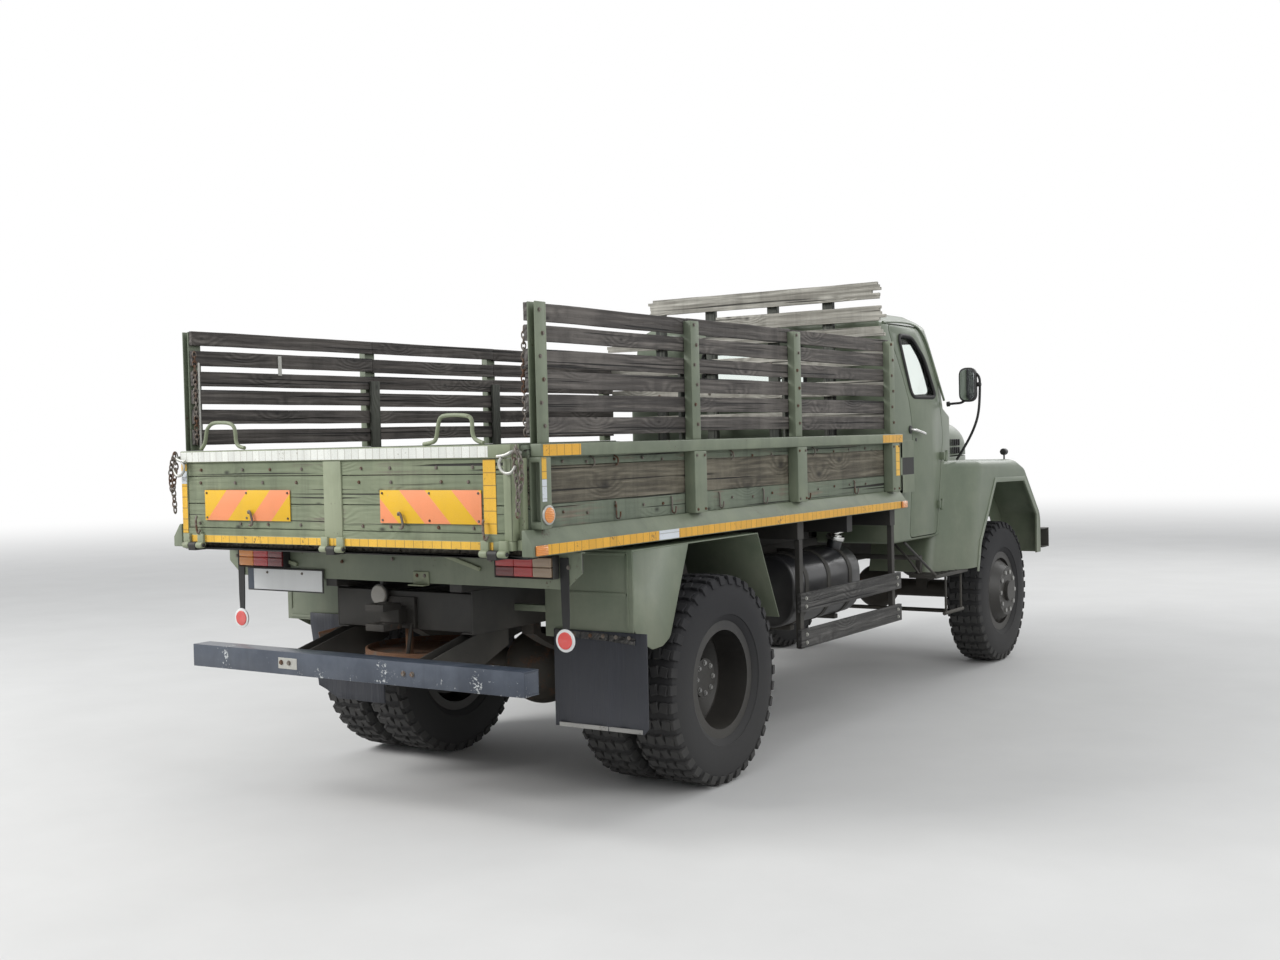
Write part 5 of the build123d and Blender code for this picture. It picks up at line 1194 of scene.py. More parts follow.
def tyreCarcass():
    # half the section is laid out, mirrored, then spun about the axle line
    section = profile + [(-x, r) for x, r in profile[-2::-1]]
    bpy.ops.object.select_all(action="DESELECT")
    bpy.ops.mesh.primitive_circle_add(vertices=len(section), radius=0.1, fill_type="NOTHING")
    piece = bpy.context.object
    for vertex, (x, radius) in zip(piece.data.vertices, section):
        vertex.co = (x, 0, radius)
    bpy.ops.object.mode_set(mode="EDIT")
    bpy.ops.mesh.select_all(action="SELECT")
    bpy.ops.mesh.spin(steps=tyre["sides"], angle=2 * pi, center=(0, 0, 0), axis=(1, 0, 0), use_auto_merge=True)
    bpy.ops.mesh.select_all(action="SELECT")
    bpy.ops.mesh.remove_doubles(threshold=0.0002)
    bpy.ops.mesh.normals_make_consistent(inside=False)
    bpy.ops.object.mode_set(mode="OBJECT")
    return piece


def treadBlocks():
    # one pitch of the tread: slanted centre blocks and shoulder lugs that reach down the sides
    pitch = 2 * pi / tyre["pitches"]
    model = openPiece("treadModel")
    for side in (-1, 1):
        lean = side * 0.28
        addBar((min(side * 0.006, side * 0.046), -0.026, 0.488), (max(side * 0.006, side * 0.046), 0.026, 0.509), (0, 0, lean))
        addBar((min(side * 0.054, side * 0.098), -0.025, 0.487), (max(side * 0.054, side * 0.098), 0.024, 0.5075), (0, 0, -lean * 0.6))
    bpy.ops.object.mode_set(mode="OBJECT")
    for vertex in model.data.vertices:
        if vertex.co.z > 0.5:
            vertex.co.x *= 0.985
            vertex.co.y *= 0.90
    lugs = openPiece("lugModel")
    for side, offset in ((-1, 0.5), (1, 0.0)):
        low, high = sorted((side * 0.100, side * 0.1275))
        addBar((low, -0.023, 0.462), (high, 0.023, 0.5045))
    bpy.ops.object.mode_set(mode="OBJECT")
    for vertex in lugs.data.vertices:
        side = 1 if vertex.co.x > 0 else -1
        if vertex.co.z > 0.48 and abs(vertex.co.x) > 0.11:
            vertex.co.x = side * 0.1165
            vertex.co.z = 0.502
        if side < 0:
            vertex.co.y += 0.041
    softened(model, 0.002, 1, 40)
    softened(lugs, 0.002, 1, 30)
    turns = [Matrix.Rotation(pitch * index, 4, "X") for index in range(tyre["pitches"])]
    centre = copies(model, "treadCentre", turns)
    shoulder = copies(lugs, "treadShoulder", turns)
    bpy.ops.object.select_all(action="DESELECT")
    centre.select_set(True)
    shoulder.select_set(True)
    bpy.context.view_layer.objects.active = centre
    bpy.ops.object.join()
    return bpy.context.view_layer.objects.active


carcass = tyreCarcass()
tread = treadBlocks()
carcass.data.materials.append(paints["tyre"])
tread.data.materials.append(paints["tread"])
tyreSpots = (
    # name, centre x, centre y, body, node
    ("rightFrontTyre", (0.870,), 2.43, "right_front_wheel", "right_front_tyre"),
    ("leftFrontTyre", (-0.870,), 2.43, "left_front_wheel", "left_front_tyre"),
    ("rightRearTyres", (0.990, 0.685), -1.82, "right_rear_wheel", "right_rear_tyres"),
    ("leftRearTyres", (-0.990, -0.685), -1.82, "left_rear_wheel", "left_rear_tyres"),
)
for name, centres, y, body, node in tyreSpots:
    for part, suffix in ((carcass, ""), (tread, "Tread")):
        twins = []
        for index, x in enumerate(centres):
            twin = part.copy()
            twin.data = part.data.copy()
            scene.collection.objects.link(twin)
            turn = Matrix.Rotation(pi if x < 0 else 0, 4, "Z") @ Matrix.Rotation(0.04 + 0.11 * index + x, 4, "X")
            twin.data.transform(Matrix.Translation((x, y, 0.509)) @ turn)
            twins.append(twin)
        bpy.ops.object.select_all(action="DESELECT")
        for twin in twins:
            twin.select_set(True)
        bpy.context.view_layer.objects.active = twins[0]
        if len(twins) > 1:
            bpy.ops.object.join()
        piece = bpy.context.view_layer.objects.active
        piece.name = name + suffix
        finish(piece, body, "tyre", (node,), angle=32)
for part in (carcass, tread):
    bpy.data.objects.remove(part, do_unlink=True)
print("tyres made")

# wheel nuts, hub bolts and worn flange rings
for side, name in ((1, "right"), (-1, "left")):
    spots = []
    for index in range(10):
        angle = 2 * pi * index / 10
        spots.append(((side * 1.0155, 2.43 + 0.1425 * cos(angle), 0.509 + 0.1425 * sin(angle)), (side, 0, 0)))
    for index in range(8):
        angle = 2 * pi * index / 8 + 0.2
        spots.append(((side * 1.0475, 2.43 + 0.052 * cos(angle), 0.509 + 0.052 * sin(angle)), (side, 0, 0)))
    bolts(name + "FrontNuts", spots[:10], name + "_front_wheel", "rimEdge", 0.0165)
    bolts(name + "FrontHubBolts", [(Vector(p) - Vector((side * 0.007, 0, 0)), w) for p, w in spots[10:]], name + "_front_wheel", "rimEdge", 0.007)
    spots = []
    for index in range(10):
        angle = 2 * pi * index / 10
        spots.append(((side * 0.8445, -1.82 + 0.1425 * cos(angle), 0.509 + 0.1425 * sin(angle)), (side, 0, 0)))
    bolts(name + "RearNuts", spots, name + "_rear_wheel", "rimEdge", 0.0165)
    spots = []
    for index in range(8):
        angle = 2 * pi * index / 8
        spots.append(((side * 0.9875, -1.82 + 0.074 * cos(angle), 0.509 + 0.074 * sin(angle)), (side, 0, 0)))
    bolts(name + "RearHubBolts", spots, name + "_rear_wheel", "rimEdge", 0.010)
    for end, centre, y, body in (("Front", 0.870, 2.43, "_front_wheel"), ("Rear", 0.990, -1.82, "_rear_wheel")):
        bpy.ops.object.select_all(action="DESELECT")
        x = side * (centre + 0.0925)
        bpy.ops.mesh.primitive_torus_add(major_radius=0.287, minor_radius=0.0065, major_segments=96, minor_segments=10, location=(x, y, 0.509), rotation=(0, pi / 2, 0))
        ring = bpy.context.object
        ring.name = name + end + "Ring"
        bpy.ops.object.transform_apply(location=True, rotation=True, scale=True)
        bpy.ops.object.mode_set(mode="EDIT")
        bpy.ops.mesh.select_all(action="DESELECT")
        bpy.ops.mesh.primitive_torus_add(major_radius=0.262, minor_radius=0.0045, major_segments=96, minor_segments=10, location=(x - side * 0.012, y, 0.509), rotation=(0, pi / 2, 0))
        bpy.ops.object.mode_set(mode="OBJECT")
        finish(ring, name + body, "rimEdge", angle=60)
print("wheel details made")

# tail beam, lamps and plate
tailY = -2.9566
tailBeam = openPiece("tailBeamSheet")
sheet = [(-1.085, 1.215), (-1.085, 1.125), (-1.0, 1.055), (1.0, 1.055), (1.085, 1.125), (1.085, 1.215)]
addPlate(tailBeam, sheet, 1, tailY, tailY + 0.005)
addBar((-0.998, tailY + 0.0048, 1.0555), (0.998, tailY + 0.030, 1.0605))
addBar((-1.084, tailY + 0.0048, 1.2095), (1.084, tailY + 0.030, 1.2145))
finish(tailBeam, "chassis", "bed", ("tail_beam",), 0.0015, 2)
hangers = openPiece("tailHangers")
for side in (-1, 1):
    strap = [(side * 0.972, 1.19), (side * 0.978, 0.95), (side * 0.985, 0.815), (side * 1.011, 0.815), (side * 1.019, 0.95), (side * 1.020, 1.19)]
    addPlate(hangers, strap, 1, tailY - 0.0055, tailY - 0.0005)
finish(hangers, "chassis", "seal", ("tail_beam",), 0.0012, 1)
for side, name in ((1, "right"), (-1, "left")):
    first, second = sorted((side * 0.652, side * 0.968))
    housing = openPiece(name + "LampHousing")
    addBar((first, tailY - 0.048, 1.101), (second, tailY, 1.199))
    bpy.ops.mesh.select_all(action="SELECT")
    bpy.ops.object.mode_set(mode="OBJECT")
    for face in housing.data.polygons:
        face.select = face.normal.y < -0.9
    bpy.ops.object.mode_set(mode="EDIT")
    bpy.ops.mesh.select_mode(type="FACE")
    bpy.ops.object.mode_set(mode="OBJECT")
    for face in housing.data.polygons:
        face.select = face.normal.y < -0.9
    bpy.ops.object.mode_set(mode="EDIT")
    bpy.ops.mesh.inset(thickness=0.007)
    bpy.ops.transform.translate(value=(0, 0.012, 0))
    bpy.ops.mesh.select_mode(type="VERT")
    finish(housing, "chassis", "blackTrim", ("tail_lamps",), 0.002, 2)
    cells = []
    width = 0.302 / 3
    for column in range(3):
        for row in range(2):
            start = 0.659 + column * width
            low = 1.108 + row * 0.0425
            cells.append((column, row, start, low, width))
    lenses = {"Red": ([(0, 1), (1, 0), (1, 1)], "redLens"), "Dark": ([(0, 0)], "darkRedLens"), "Clear": ([(2, 0), (2, 1)], "clearLens")}
    if side < 0:
        lenses = {"Red": ([(1, 0), (1, 1)], "redLens"), "Dark": ([(0, 0), (0, 1)], "darkRedLens"), "Clear": ([(2, 0), (2, 1)], "amberLens")}
    for label, (wanted, material) in lenses.items():
        lens = openPiece(name + label + "Lens")
        for column, row, start, low, size in cells:
            if (column, row) in wanted:
                a, b = sorted((side * (start + 0.001), side * (start + size - 0.001)))
                addBar((a, tailY - 0.050, low + 0.0008), (b, tailY - 0.034, low + 0.0415))
        finish(lens, "chassis", material, ("tail_lamps",), 0.004, 3)
    rim = openPiece(name + "DiscRim")
    centre = (side * 0.998, tailY - 0.0055, 0.84)
    addRod(centre, (centre[0], centre[1] - 0.008, centre[2]), 0.049, 40)
    finish(rim, "chassis", "white", ("tail_lamps",), 0.003, 2)
    # the red reflector disc is given a glowing lens material: painted light
    disc = openPiece(name + "RedDisc")
    addRod((centre[0], centre[1] - 0.004, centre[2]), (centre[0], centre[1] - 0.012, centre[2]), 0.037, 40)
    finish(disc, "chassis", "redDiscPaintedGlow", ("tail_lamps",), 0.004, 3)

plate = openPiece("plateFrame")
addBar((-0.943, tailY - 0.0125, 0.984), (-0.421, tailY - 0.007, 1.098))
finish(plate, "chassis", "blackTrim", ("licence_plate",), 0.003, 2)
blank = openPiece("plateBlank")
addBar((-0.936, tailY - 0.0150, 0.991), (-0.428, tailY - 0.0115, 1.091))
finish(blank, "chassis", "white", ("licence_plate",), 0.0015, 2)
strip = openPiece("plateBand")
addBar((-0.936, tailY - 0.0156, 0.991), (-0.896, tailY - 0.0145, 1.091))
finish(strip, "chassis", "underride", (), 0.0004, 1)
bolts("plateScrews", [((x, tailY - 0.015, 1.075), (0, -1, 0)) for x in (-0.80, -0.56)], "chassis", size=0.005)

braces = openPiece("beamBraces")
for start, end in (((-0.90, 1.178), (-0.60, 1.118)), ((0.30, 1.196), (0.54, 1.128))):
    mid = ((start[0] + end[0]) / 2, tailY - 0.006, (start[1] + end[1]) / 2)
    length = ((end[0] - start[0]) ** 2 + (end[1] - start[1]) ** 2) ** 0.5
    lean = atan2(-(end[1] - start[1]), end[0] - start[0])
    addBar((mid[0] - length / 2, mid[1] - 0.006, mid[2] - 0.009), (mid[0] + length / 2, mid[1] + 0.006, mid[2] + 0.009), (0, lean, 0))
addBar((0.145, tailY - 0.007, 1.046), (0.238, tailY, 1.108))
addBar((0.145, tailY - 0.045, 1.046), (0.238, tailY, 1.052))
finish(braces, "chassis", "gate", (), 0.002, 2)
bolts("beamBolts", [((x, tailY - 0.006, z), (0, -1, 0)) for x, z in ((-0.30, 1.14), (0.02, 1.16), (0.17, 1.09), (0.215, 1.09), (0.60, 1.17), (1.02, 1.15), (-1.02, 1.15))], "chassis", size=0.007)

# work lamp hung below the beam
lampSpot = (-0.115, -2.905, 0.985)
shade = openPiece("workLampShell")
addRod((lampSpot[0], lampSpot[1] + 0.055, lampSpot[2]), (lampSpot[0], lampSpot[1] - 0.01, lampSpot[2]), 0.052, 32)
bpy.ops.object.mode_set(mode="OBJECT")
for vertex in shade.data.vertices:
    if vertex.co.y > lampSpot[1] + 0.04:
        vertex.co.x = lampSpot[0] + (vertex.co.x - lampSpot[0]) * 0.5
        vertex.co.z = lampSpot[2] + (vertex.co.z - lampSpot[2]) * 0.5
bpy.ops.object.mode_set(mode="EDIT")
addBar((lampSpot[0] - 0.01, lampSpot[1] + 0.01, lampSpot[2] + 0.045), (lampSpot[0] + 0.01, lampSpot[1] + 0.03, 1.075))
finish(shade, "chassis", "blackTrim", (), 0.003, 2)
lens = openPiece("workLampGlass")
addRod((lampSpot[0], lampSpot[1] - 0.004, lampSpot[2]), (lampSpot[0], lampSpot[1] - 0.018, lampSpot[2]), 0.046, 32)
finish(lens, "chassis", "lampGlass", (), 0.006, 4)
print("tail lamps made")

# mudflaps
flaps = (
    ("rightFlap", [(0.652, 0.385), (1.135, 0.382), (1.158, 0.41), (1.158, 0.828), (0.652, 0.828)]),
    ("leftFlap", [(-0.915, 0.828), (-0.915, 0.77), (-0.861, 0.458), (-0.736, 0.399), (-0.413, 0.396), (-0.413, 0.678), (-0.568, 0.718), (-0.568, 0.828)]),
)
flapY = -2.584
for name, corners in flaps:
    bpy.ops.object.select_all(action="DESELECT")
    bpy.ops.mesh.primitive_circle_add(vertices=len(corners), radius=0.2, fill_type="NGON")
    flap = bpy.context.object
    flap.name = name
    for vertex, (x, z) in zip(flap.data.vertices, corners):
        vertex.co = (x, flapY, z)
    bpy.ops.object.mode_set(mode="EDIT")
    for count in range(1, 12):
        bpy.ops.mesh.select_all(action="SELECT")
        low = min(x for x, z in corners)
        high = max(x for x, z in corners)
        bpy.ops.mesh.bisect(plane_co=(low + (high - low) * count / 12, 0, 0), plane_no=(1, 0, 0))
    for count in range(1, 8):
        bpy.ops.mesh.select_all(action="SELECT")
        bpy.ops.mesh.bisect(plane_co=(0, 0, 0.38 + 0.45 * count / 8), plane_no=(0, 0, 1))
    bpy.ops.mesh.select_all(action="SELECT")
    bpy.ops.mesh.normals_make_consistent(inside=False)
    bpy.ops.object.mode_set(mode="OBJECT")
    thick = flap.modifiers.new("thick", "SOLIDIFY")
    thick.thickness = 0.008
    thick.offset = 0
    bpy.ops.object.modifier_apply(modifier="thick")
    for vertex in flap.data.vertices:
        sag = (0.83 - vertex.co.z) / 0.45
        vertex.co.y += 0.004 * sin(vertex.co.x * 38) * sag + 0.003 * sin(vertex.co.x * 91 + 1) * sag
    finish(flap, "chassis", "flap", ("mudflaps",), 0.0015, 1, 60)
trim = openPiece("flapBattens")
addBar((0.66, -2.594, 0.795), (0.80, -2.588, 0.826), (0, 0.05, 0))
addBar((0.805, -2.594, 0.79), (0.955, -2.588, 0.822), (0, 0.03, 0))
addBar((0.96, -2.594, 0.782), (1.10, -2.588, 0.812), (0, 0.08, 0))
finish(trim, "chassis", "plank", (), 0.002, 1)
trim = openPiece("flapWeight")
addBar((0.675, -2.5935, 0.384), (1.13, -2.588, 0.404))
finish(trim, "chassis", "rimEdge", (), 0.0015, 1)
bolts("flapBolts", [((x, -2.594, 0.808), (0, -1, 0)) for x in (0.69, 0.77, 0.86, 0.93, 1.0, 1.07)], "chassis", size=0.007)
print("mudflaps made")

# underride bar and mudguard trim
bar = openPiece("underrideBeam")
section = [(-3.265, 0.645), (-3.165, 0.645), (-3.165, 0.651), (-3.259, 0.651), (-3.259, 0.744), (-3.165, 0.744), (-3.165, 0.750), (-3.265, 0.750)]
addPlate(bar, section, 0, -1.005, 1.005)
for side in (-1, 1):
    addBar((min(side * 1.004, side * 0.999), -3.2585, 0.6515), (max(side * 1.004, side * 0.999), -3.166, 0.7435))
finish(bar, "chassis", "underride", ("underride_bar",), 0.0018, 2)
arms = openPiece("underrideArms")
profileArm = [(-3.165, 0.66), (-2.805, 0.675), (-2.62, 0.745), (-2.62, 0.82), (-2.85, 0.82), (-3.165, 0.744)]
for side in (-1, 1):
    for offset in (0.335, 0.409):
        addPlate(arms, profileArm, 0, side * offset, side * (offset + 0.006))
    first, second = sorted((side * 0.3405, side * 0.4095))
    addBar((first, -3.1645, 0.662), (second, -3.158, 0.742))
    addBar((first, -2.70, 0.812), (second, -2.64, 0.818))
finish(arms, "chassis", "frame", ("underride_bar",), 0.0015, 1)
note = openPiece("barPlate")
addBar((-0.42, -3.2665, 0.672), (-0.30, -3.2645, 0.722))
finish(note, "chassis", "silver", (), 0.0004, 1)
spots = [((x, -3.265, 0.70), (0, -1, 0)) for x in (-0.40, -0.35, 0.35, 0.40)]
bolts("barBolts", spots, "chassis", size=0.009)
for side, name in ((1, "right"), (-1, "left")):
    lips = openPiece(name + "GuardLips")
    x1, x2 = sorted((side * 1.062, side * 1.0845))
    for z in (0.80, 0.99, 1.17):
        a, b = sorted((side * 0.70, side * 1.06))
        addBar((a, -2.5845, z), (b, -2.5795, z + 0.014))
    addBar((min(side * 0.70, side * 0.714), -2.5845, 0.80), (max(side * 0.70, side * 0.714), -2.5795, 1.18))
    addBar((min(side * 1.05, side * 1.064), -2.5845, 0.845), (max(side * 1.05, side * 1.064), -2.5795, 1.18))
    finish(lips, "chassis", "guard", (), 0.002, 2)
print("tail finished")

# side guard planks
rows = []
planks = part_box("side_guard_planks")
for side in (-1, 1):
    x1, x2 = sorted((side * (abs(planks[1][0]) - 0.025), side * abs(planks[1][0])))
    for low in (planks[0][2], planks[0][2] + 0.195):
        rows.append(((x1 + 0.001, planks[0][1], low), (x2 - 0.001, planks[1][1], low + 0.10)))
boards("guardPlanks", rows, 1, 14, 0.004, "chassis", "plank", ("side_guard_planks",), 0.003)
spots = []
for side in (-1, 1):
    for y in (planks[0][1] + 0.06, planks[1][1] - 0.06):
        for z in (planks[0][2] + 0.05, planks[0][2] + 0.245):
            for dz in (-0.022, 0.022):
                spots.append(((side * abs(planks[1][0]), y, z + dz), (side, 0, 0)))
bolts("guardPlankBolts", spots, "chassis", material="silver", size=0.008)

# cab
cab = {
    "wall": 0.028, "round": 0.048, "gap": 0.007, "belt": 1.89, "half": 0.97, "lean": 0.136, "back": 0.52,
    "side": [(0.52, 0.99), (1.33, 0.99), (1.61, 1.32), (1.61, 1.79), (1.455, 1.845), (1.285, 2.27), (1.215, 2.41), (1.06, 2.468), (0.63, 2.468), (0.52, 2.385)],
    "door": [(0.774, 1.006), (1.25, 1.006), (1.435, 1.66), (1.375, 1.87), (1.212, 2.262), (1.11, 2.372), (0.655, 2.372), (0.632, 2.33), (0.745, 2.061), (0.839, 1.754), (0.843, 1.661), (0.833, 1.445)],
    "window": [(0.851, 1.905), (1.258, 1.905), (1.15, 2.165), (0.99, 2.305), (0.765, 2.31)],
    "screen": [(0.03, 1.925), (0.866, 1.925), (0.826, 2.285), (0.03, 2.285)],
    "rear": [(-0.38, 1.96), (0.38, 1.96), (0.38, 2.25), (-0.38, 2.25)],
}


def cabSide(z):
    return cab["half"] - max(0.0, z - cab["belt"]) * cab["lean"]


def screenPlane(z):
    # how far forward the windscreen is at a height
    (lowY, lowZ), (highY, highZ) = cab["side"][4:6]
    return lowY + (highY - lowY) * (z - lowZ) / (highZ - lowZ)


cuts = []
for side in (-1, 1):
    cuts.append(((side * cab["half"], 0, 1.5), (side, 0, 0)))
    cuts.append(((side * cab["half"], 0, cab["belt"]), (side, 0, cab["lean"])))
    cuts.append(((side * 0.905, 0, 2.37), (side * 0.60, 0, 0.80)))
    cuts.append(((side * 0.50, 0, 2.468), (side * 0.075, 0, 1.0)))
    cuts.append(((side * cab["half"], 1.17, 1.5), (side, 0.105, 0)))


def cabBlock(name, inset, width):
    block = openPiece(name)
    addPlate(block, shrunk(cab["side"], inset), 0, -0.98, 0.98)
    trimmed([(Vector(point) - Vector(way).normalized() * inset, way) for point, way in cuts])
    bpy.ops.object.mode_set(mode="OBJECT")
    softened(block, width, 5, 12)
    return block


form = cabBlock("cabForm", 0.0, cab["round"])
room = cabBlock("cabRoom", cab["wall"], cab["round"] - 0.022)
cabSolid = twinOf(form, "cabSolid")
shell = twinOf(form, "cabShell")
cutWith(shell, [twinOf(room, "tool")])
doorTools = [plateTool(rounded(cab["door"], 0.05, 4), 0, side * 0.80, side * 1.05) for side in (-1, 1)]
screenTools = [plateTool(rounded([(side * x, z) for x, z in cab["screen"]], 0.06), 1, 1.12, 1.70) for side in (-1, 1)]
rearTool = plateTool(rounded(cab["rear"], 0.05), 1, 0.40, 0.62)
under = [blockTool((-0.941, 0.549, 0.90), (0.941, 1.57, 1.058)), blockTool((-0.44, 0.40, 0.90), (0.44, 1.72, 1.0585))]
cutWith(shell, under + doorTools + screenTools + [rearTool])
finish(shell, "chassis", "cab", ("cab_shell",), angle=28)
floorPan = openPiece("cabFloor")
addBar((-0.945, 0.545, 1.06), (0.945, 1.44, 1.088))
addBar((-0.945, 1.432, 1.06), (0.945, 1.44, 1.30))
finish(floorPan, "chassis", "inside", ("cab_shell",), 0.004, 2)
beads, panes = [], []
for side, name in ((1, "right"), (-1, "left")):
    door = twinOf(form, name + "DoorPanel")
    cutWith(door, [plateTool(rounded(shrunk(cab["door"], cab["gap"]), 0.045, 4), 0, side * 0.78, side * 1.04)], "INTERSECT")
    cutWith(door, [twinOf(room, "tool"), plateTool(rounded(cab["window"], 0.06), 0, side * 0.70, side * 1.05)])
    finish(door, name + "_door", "cab", (name + "_door",), 0.0025, 2, 28)
    pane = plateTool(rounded(shrunk(cab["window"], -0.012), 0.07), 0, side * (cab["half"] - 0.018), side * (cab["half"] - 0.013))
    for vertex in pane.data.vertices:
        vertex.co.x = side * (cabSide(vertex.co.z) - cab["half"] + abs(vertex.co.x))
    pane.name = name + "DoorPane"
    finish(pane, name + "_door", "glass", (name + "_door_glass",))
    ring = rounded(shrunk(cab["window"], 0.004), 0.06)
    path = [(side * (cabSide(z) + 0.001), y, z) for y, z in ring + ring[:1]]
    inner = [(side * (cabSide(z) - 0.024), y, z) for y, z in ring + ring[:1]]
    finish(bentRods(name + "WindowRubber", [path, inner], 0.0125, 3), name + "_door", "seal", angle=60)
    ring = rounded([(side * x, z) for x, z in cab["screen"]], 0.06)
    pane = plateTool(rounded([(side * (x + (0.012 if x > 0.1 else -0.012)), z) for x, z in cab["screen"]], 0.06), 1, -0.0175, -0.0125)
    for vertex in pane.data.vertices:
        vertex.co.y += screenPlane(vertex.co.z)
    pane.name = name + "ScreenPane"
    finish(pane, "chassis", "glass", ("cab_glass",))
    path = [(x, screenPlane(z) + 0.001, z) for x, z in ring + ring[:1]]
    finish(bentRods(name + "ScreenRubber", [path], 0.013, 3), "chassis", "seal", angle=60)
    # drip rail over the door and down the pillar
    rail = [(0.56, 2.376), (0.80, 2.392), (1.05, 2.388), (1.16, 2.352), (1.235, 2.268), (1.32, 2.06), (1.39, 1.89)]
    path = [(side * (cabSide(z) + 0.003), y, z) for y, z in rail]
    finish(bentRods(name + "DripRail", [path], 0.0075), "chassis", "cab", angle=60)
    grip = [[(side * 0.966, 0.815, 1.700), (side * 1.000, 0.818, 1.699), (side * 1.004, 0.85, 1.694), (side * 1.004, 0.92, 1.683), (side * 1.001, 0.985, 1.672)]]
    finish(bentRods(name + "DoorGrip", grip, 0.0095), name + "_door", "chrome", angle=60)
    rose = openPiece(name + "GripRose")
    addRod((side * 0.969, 0.815, 1.70), (side * 0.978, 0.815, 1.70), 0.026, 24)
    addRod((side * 0.969, 0.905, 1.635), (side * 0.974, 0.905, 1.635), 0.012, 20)
    finish(rose, name + "_door", "blackTrim", (), 0.003, 2)
    knuckles = openPiece(name + "DoorHinges")
    for z in (1.20, 1.52):
        points = [(side * 0.981, 1.246 + (level - 1.006) * 0.28287, level) for level in (z - 0.036, z, z + 0.036)]
        addRod(points[0], points[2], 0.0105, 16)
        addBar((min(side * 0.930, side * 0.981), points[1][1] - 0.040, z - 0.026), (max(side * 0.930, side * 0.981), points[1][1] + 0.006, z + 0.026))
    finish(knuckles, name + "_door", "cab", (name + "_door",), 0.002, 2)
rearPane = plateTool(rounded(shrunk(cab["rear"], -0.012), 0.06), 1, cab["back"] + 0.012, cab["back"] + 0.017)
rearPane.name = "rearPane"
finish(rearPane, "chassis", "glass", ("cab_glass",))
ring = rounded(cab["rear"], 0.05)
finish(bentRods("rearRubber", [[(x, cab["back"], z) for x, z in ring + ring[:1]]], 0.013, 3), "chassis", "seal", angle=60)
wipers = []
for x in (-0.62, 0.12):
    wipers.append([(x, 1.50, 1.845), (x, 1.497, 1.875), (x + 0.10, 1.455, 1.94), (x + 0.24, 1.415, 2.02)])
    wipers.append([(x + 0.05, 1.467, 1.90), (x + 0.24, 1.418, 2.02), (x + 0.42, 1.378, 2.12)])
finish(bentRods("wipers", wipers, 0.0055), "chassis", "seal", angle=60)
for block in (form, room):
    bpy.data.objects.remove(block, do_unlink=True)
print("cab made")

# front fenders: one pressed sheet each, open at the wheel
fender = {
    "side": [(1.176, 0.752), (3.026, 0.752), (3.026, 1.035), (2.64, 1.425), (2.50, 1.470), (1.382, 1.489)],
    "arch": [(1.697, 0.60), (2.918, 0.60), (2.931, 1.039), (2.656, 1.306), (2.061, 1.3165), (1.905, 1.106), (1.753, 0.914), (1.697, 0.718)],
    "out": 1.08, "in": 0.50, "sheet": 0.009, "lip": 0.034,
    "splash": [(1.640, 0.765), (1.700, 0.878), (2.080, 1.318), (2.080, 1.462)],
    "apron": [(2.878, 0.90), (3.018, 0.90), (3.018, 1.03), (2.64, 1.416), (2.50, 1.459), (2.30, 1.462), (2.30, 1.03), (2.79, 1.03)],
}


def wingBlock(name, inset):
    block = openPiece(name)
    outline = shrunk(fender["side"], inset)
    if inset:
        # the fender is open below
        outline[:2] = [(y, 0.70) for y, z in outline[:2]]
    addPlate(block, outline, 0, fender["in"] - 4 * inset, fender["out"] - inset)
    way = Vector((0.33, -0.13, 0.0368)).normalized()
    trimmed([(Vector((0.93, 1.176, 0.752)) - way * inset, way)])
    bpy.ops.object.mode_set(mode="OBJECT")

    def outerEdge(first, second):
        middle = (first + second) / 2
        return middle.x > 0.6 and middle.z > 0.80 and (middle.y < 2.7 or middle.x < 1.0)

    edgesRounded(block, outerEdge, 0.052 - inset, 6)
    return block


wing = wingBlock("rightFender", 0.0)
cutWith(wing, [wingBlock("tool", fender["sheet"]), plateTool(rounded(fender["arch"], 0.03), 0, 0.40, 1.2), blockTool((0.40, 1.62, 0.70), (0.755, 3.2, 1.47)), cabSolid])
finish(wing, "chassis", "cab", ("front_fenders",), angle=30)
band = openPiece("rightFenderLip")
inner = fender["arch"][1:] + fender["arch"][:1]
outer = shrunk(fender["arch"], -fender["lip"])
outer = outer[1:] + outer[:1]
inner[0], outer[0] = (inner[0][0], 0.754), (outer[0][0], 0.754)
inner[-1], outer[-1] = inner[-2], outer[-2]
addPlate(band, outer[:-1] + inner[-2::-1], 0, 1.0785, 1.086)
bpy.ops.object.mode_set(mode="OBJECT")
finish(band, "chassis", "cabPale", (), 0.0025, 2)
for model, name, material in ((wing, "leftFender", "cab"), (band, "leftFenderLip", "cabPale")):
    finish(mirroredTwin(model, name), "chassis", material, ("front_fenders",), angle=30)
for side, name in ((1, "right"), (-1, "left")):
    marker = openPiece(name + "FenderLamp")
    addRod((side * 1.0, 2.47, 1.462), (side * 1.0, 2.47, 1.515), 0.006, 12)
    addRod((side * 1.0, 2.444, 1.525), (side * 1.0, 2.496, 1.525), 0.024, 24)
    finish(marker, "chassis", "blackTrim", (), 0.006, 3)
softCopy("nose_shell", "noseShell", "chassis", "cab", 0.004)
softCopy("bonnet", "bonnetPanel", "bonnet", "cab", 0.004)
slots = openPiece("bonnetLouvres")
for side in (-1, 1):
    for index in range(15):
        y = 1.66 + index * 0.045
        reach = 0.760 - (y - 1.61) * 0.0556
        for low, high in ((1.520, 1.568), (1.578, 1.626)):
            addBar((min(side * (reach - 0.006), side * (reach + 0.004)), y, low), (max(side * (reach - 0.006), side * (reach + 0.004)), y + 0.019, high))
finish(slots, "bonnet", "seal", (), 0.003, 1)
print("fenders made")

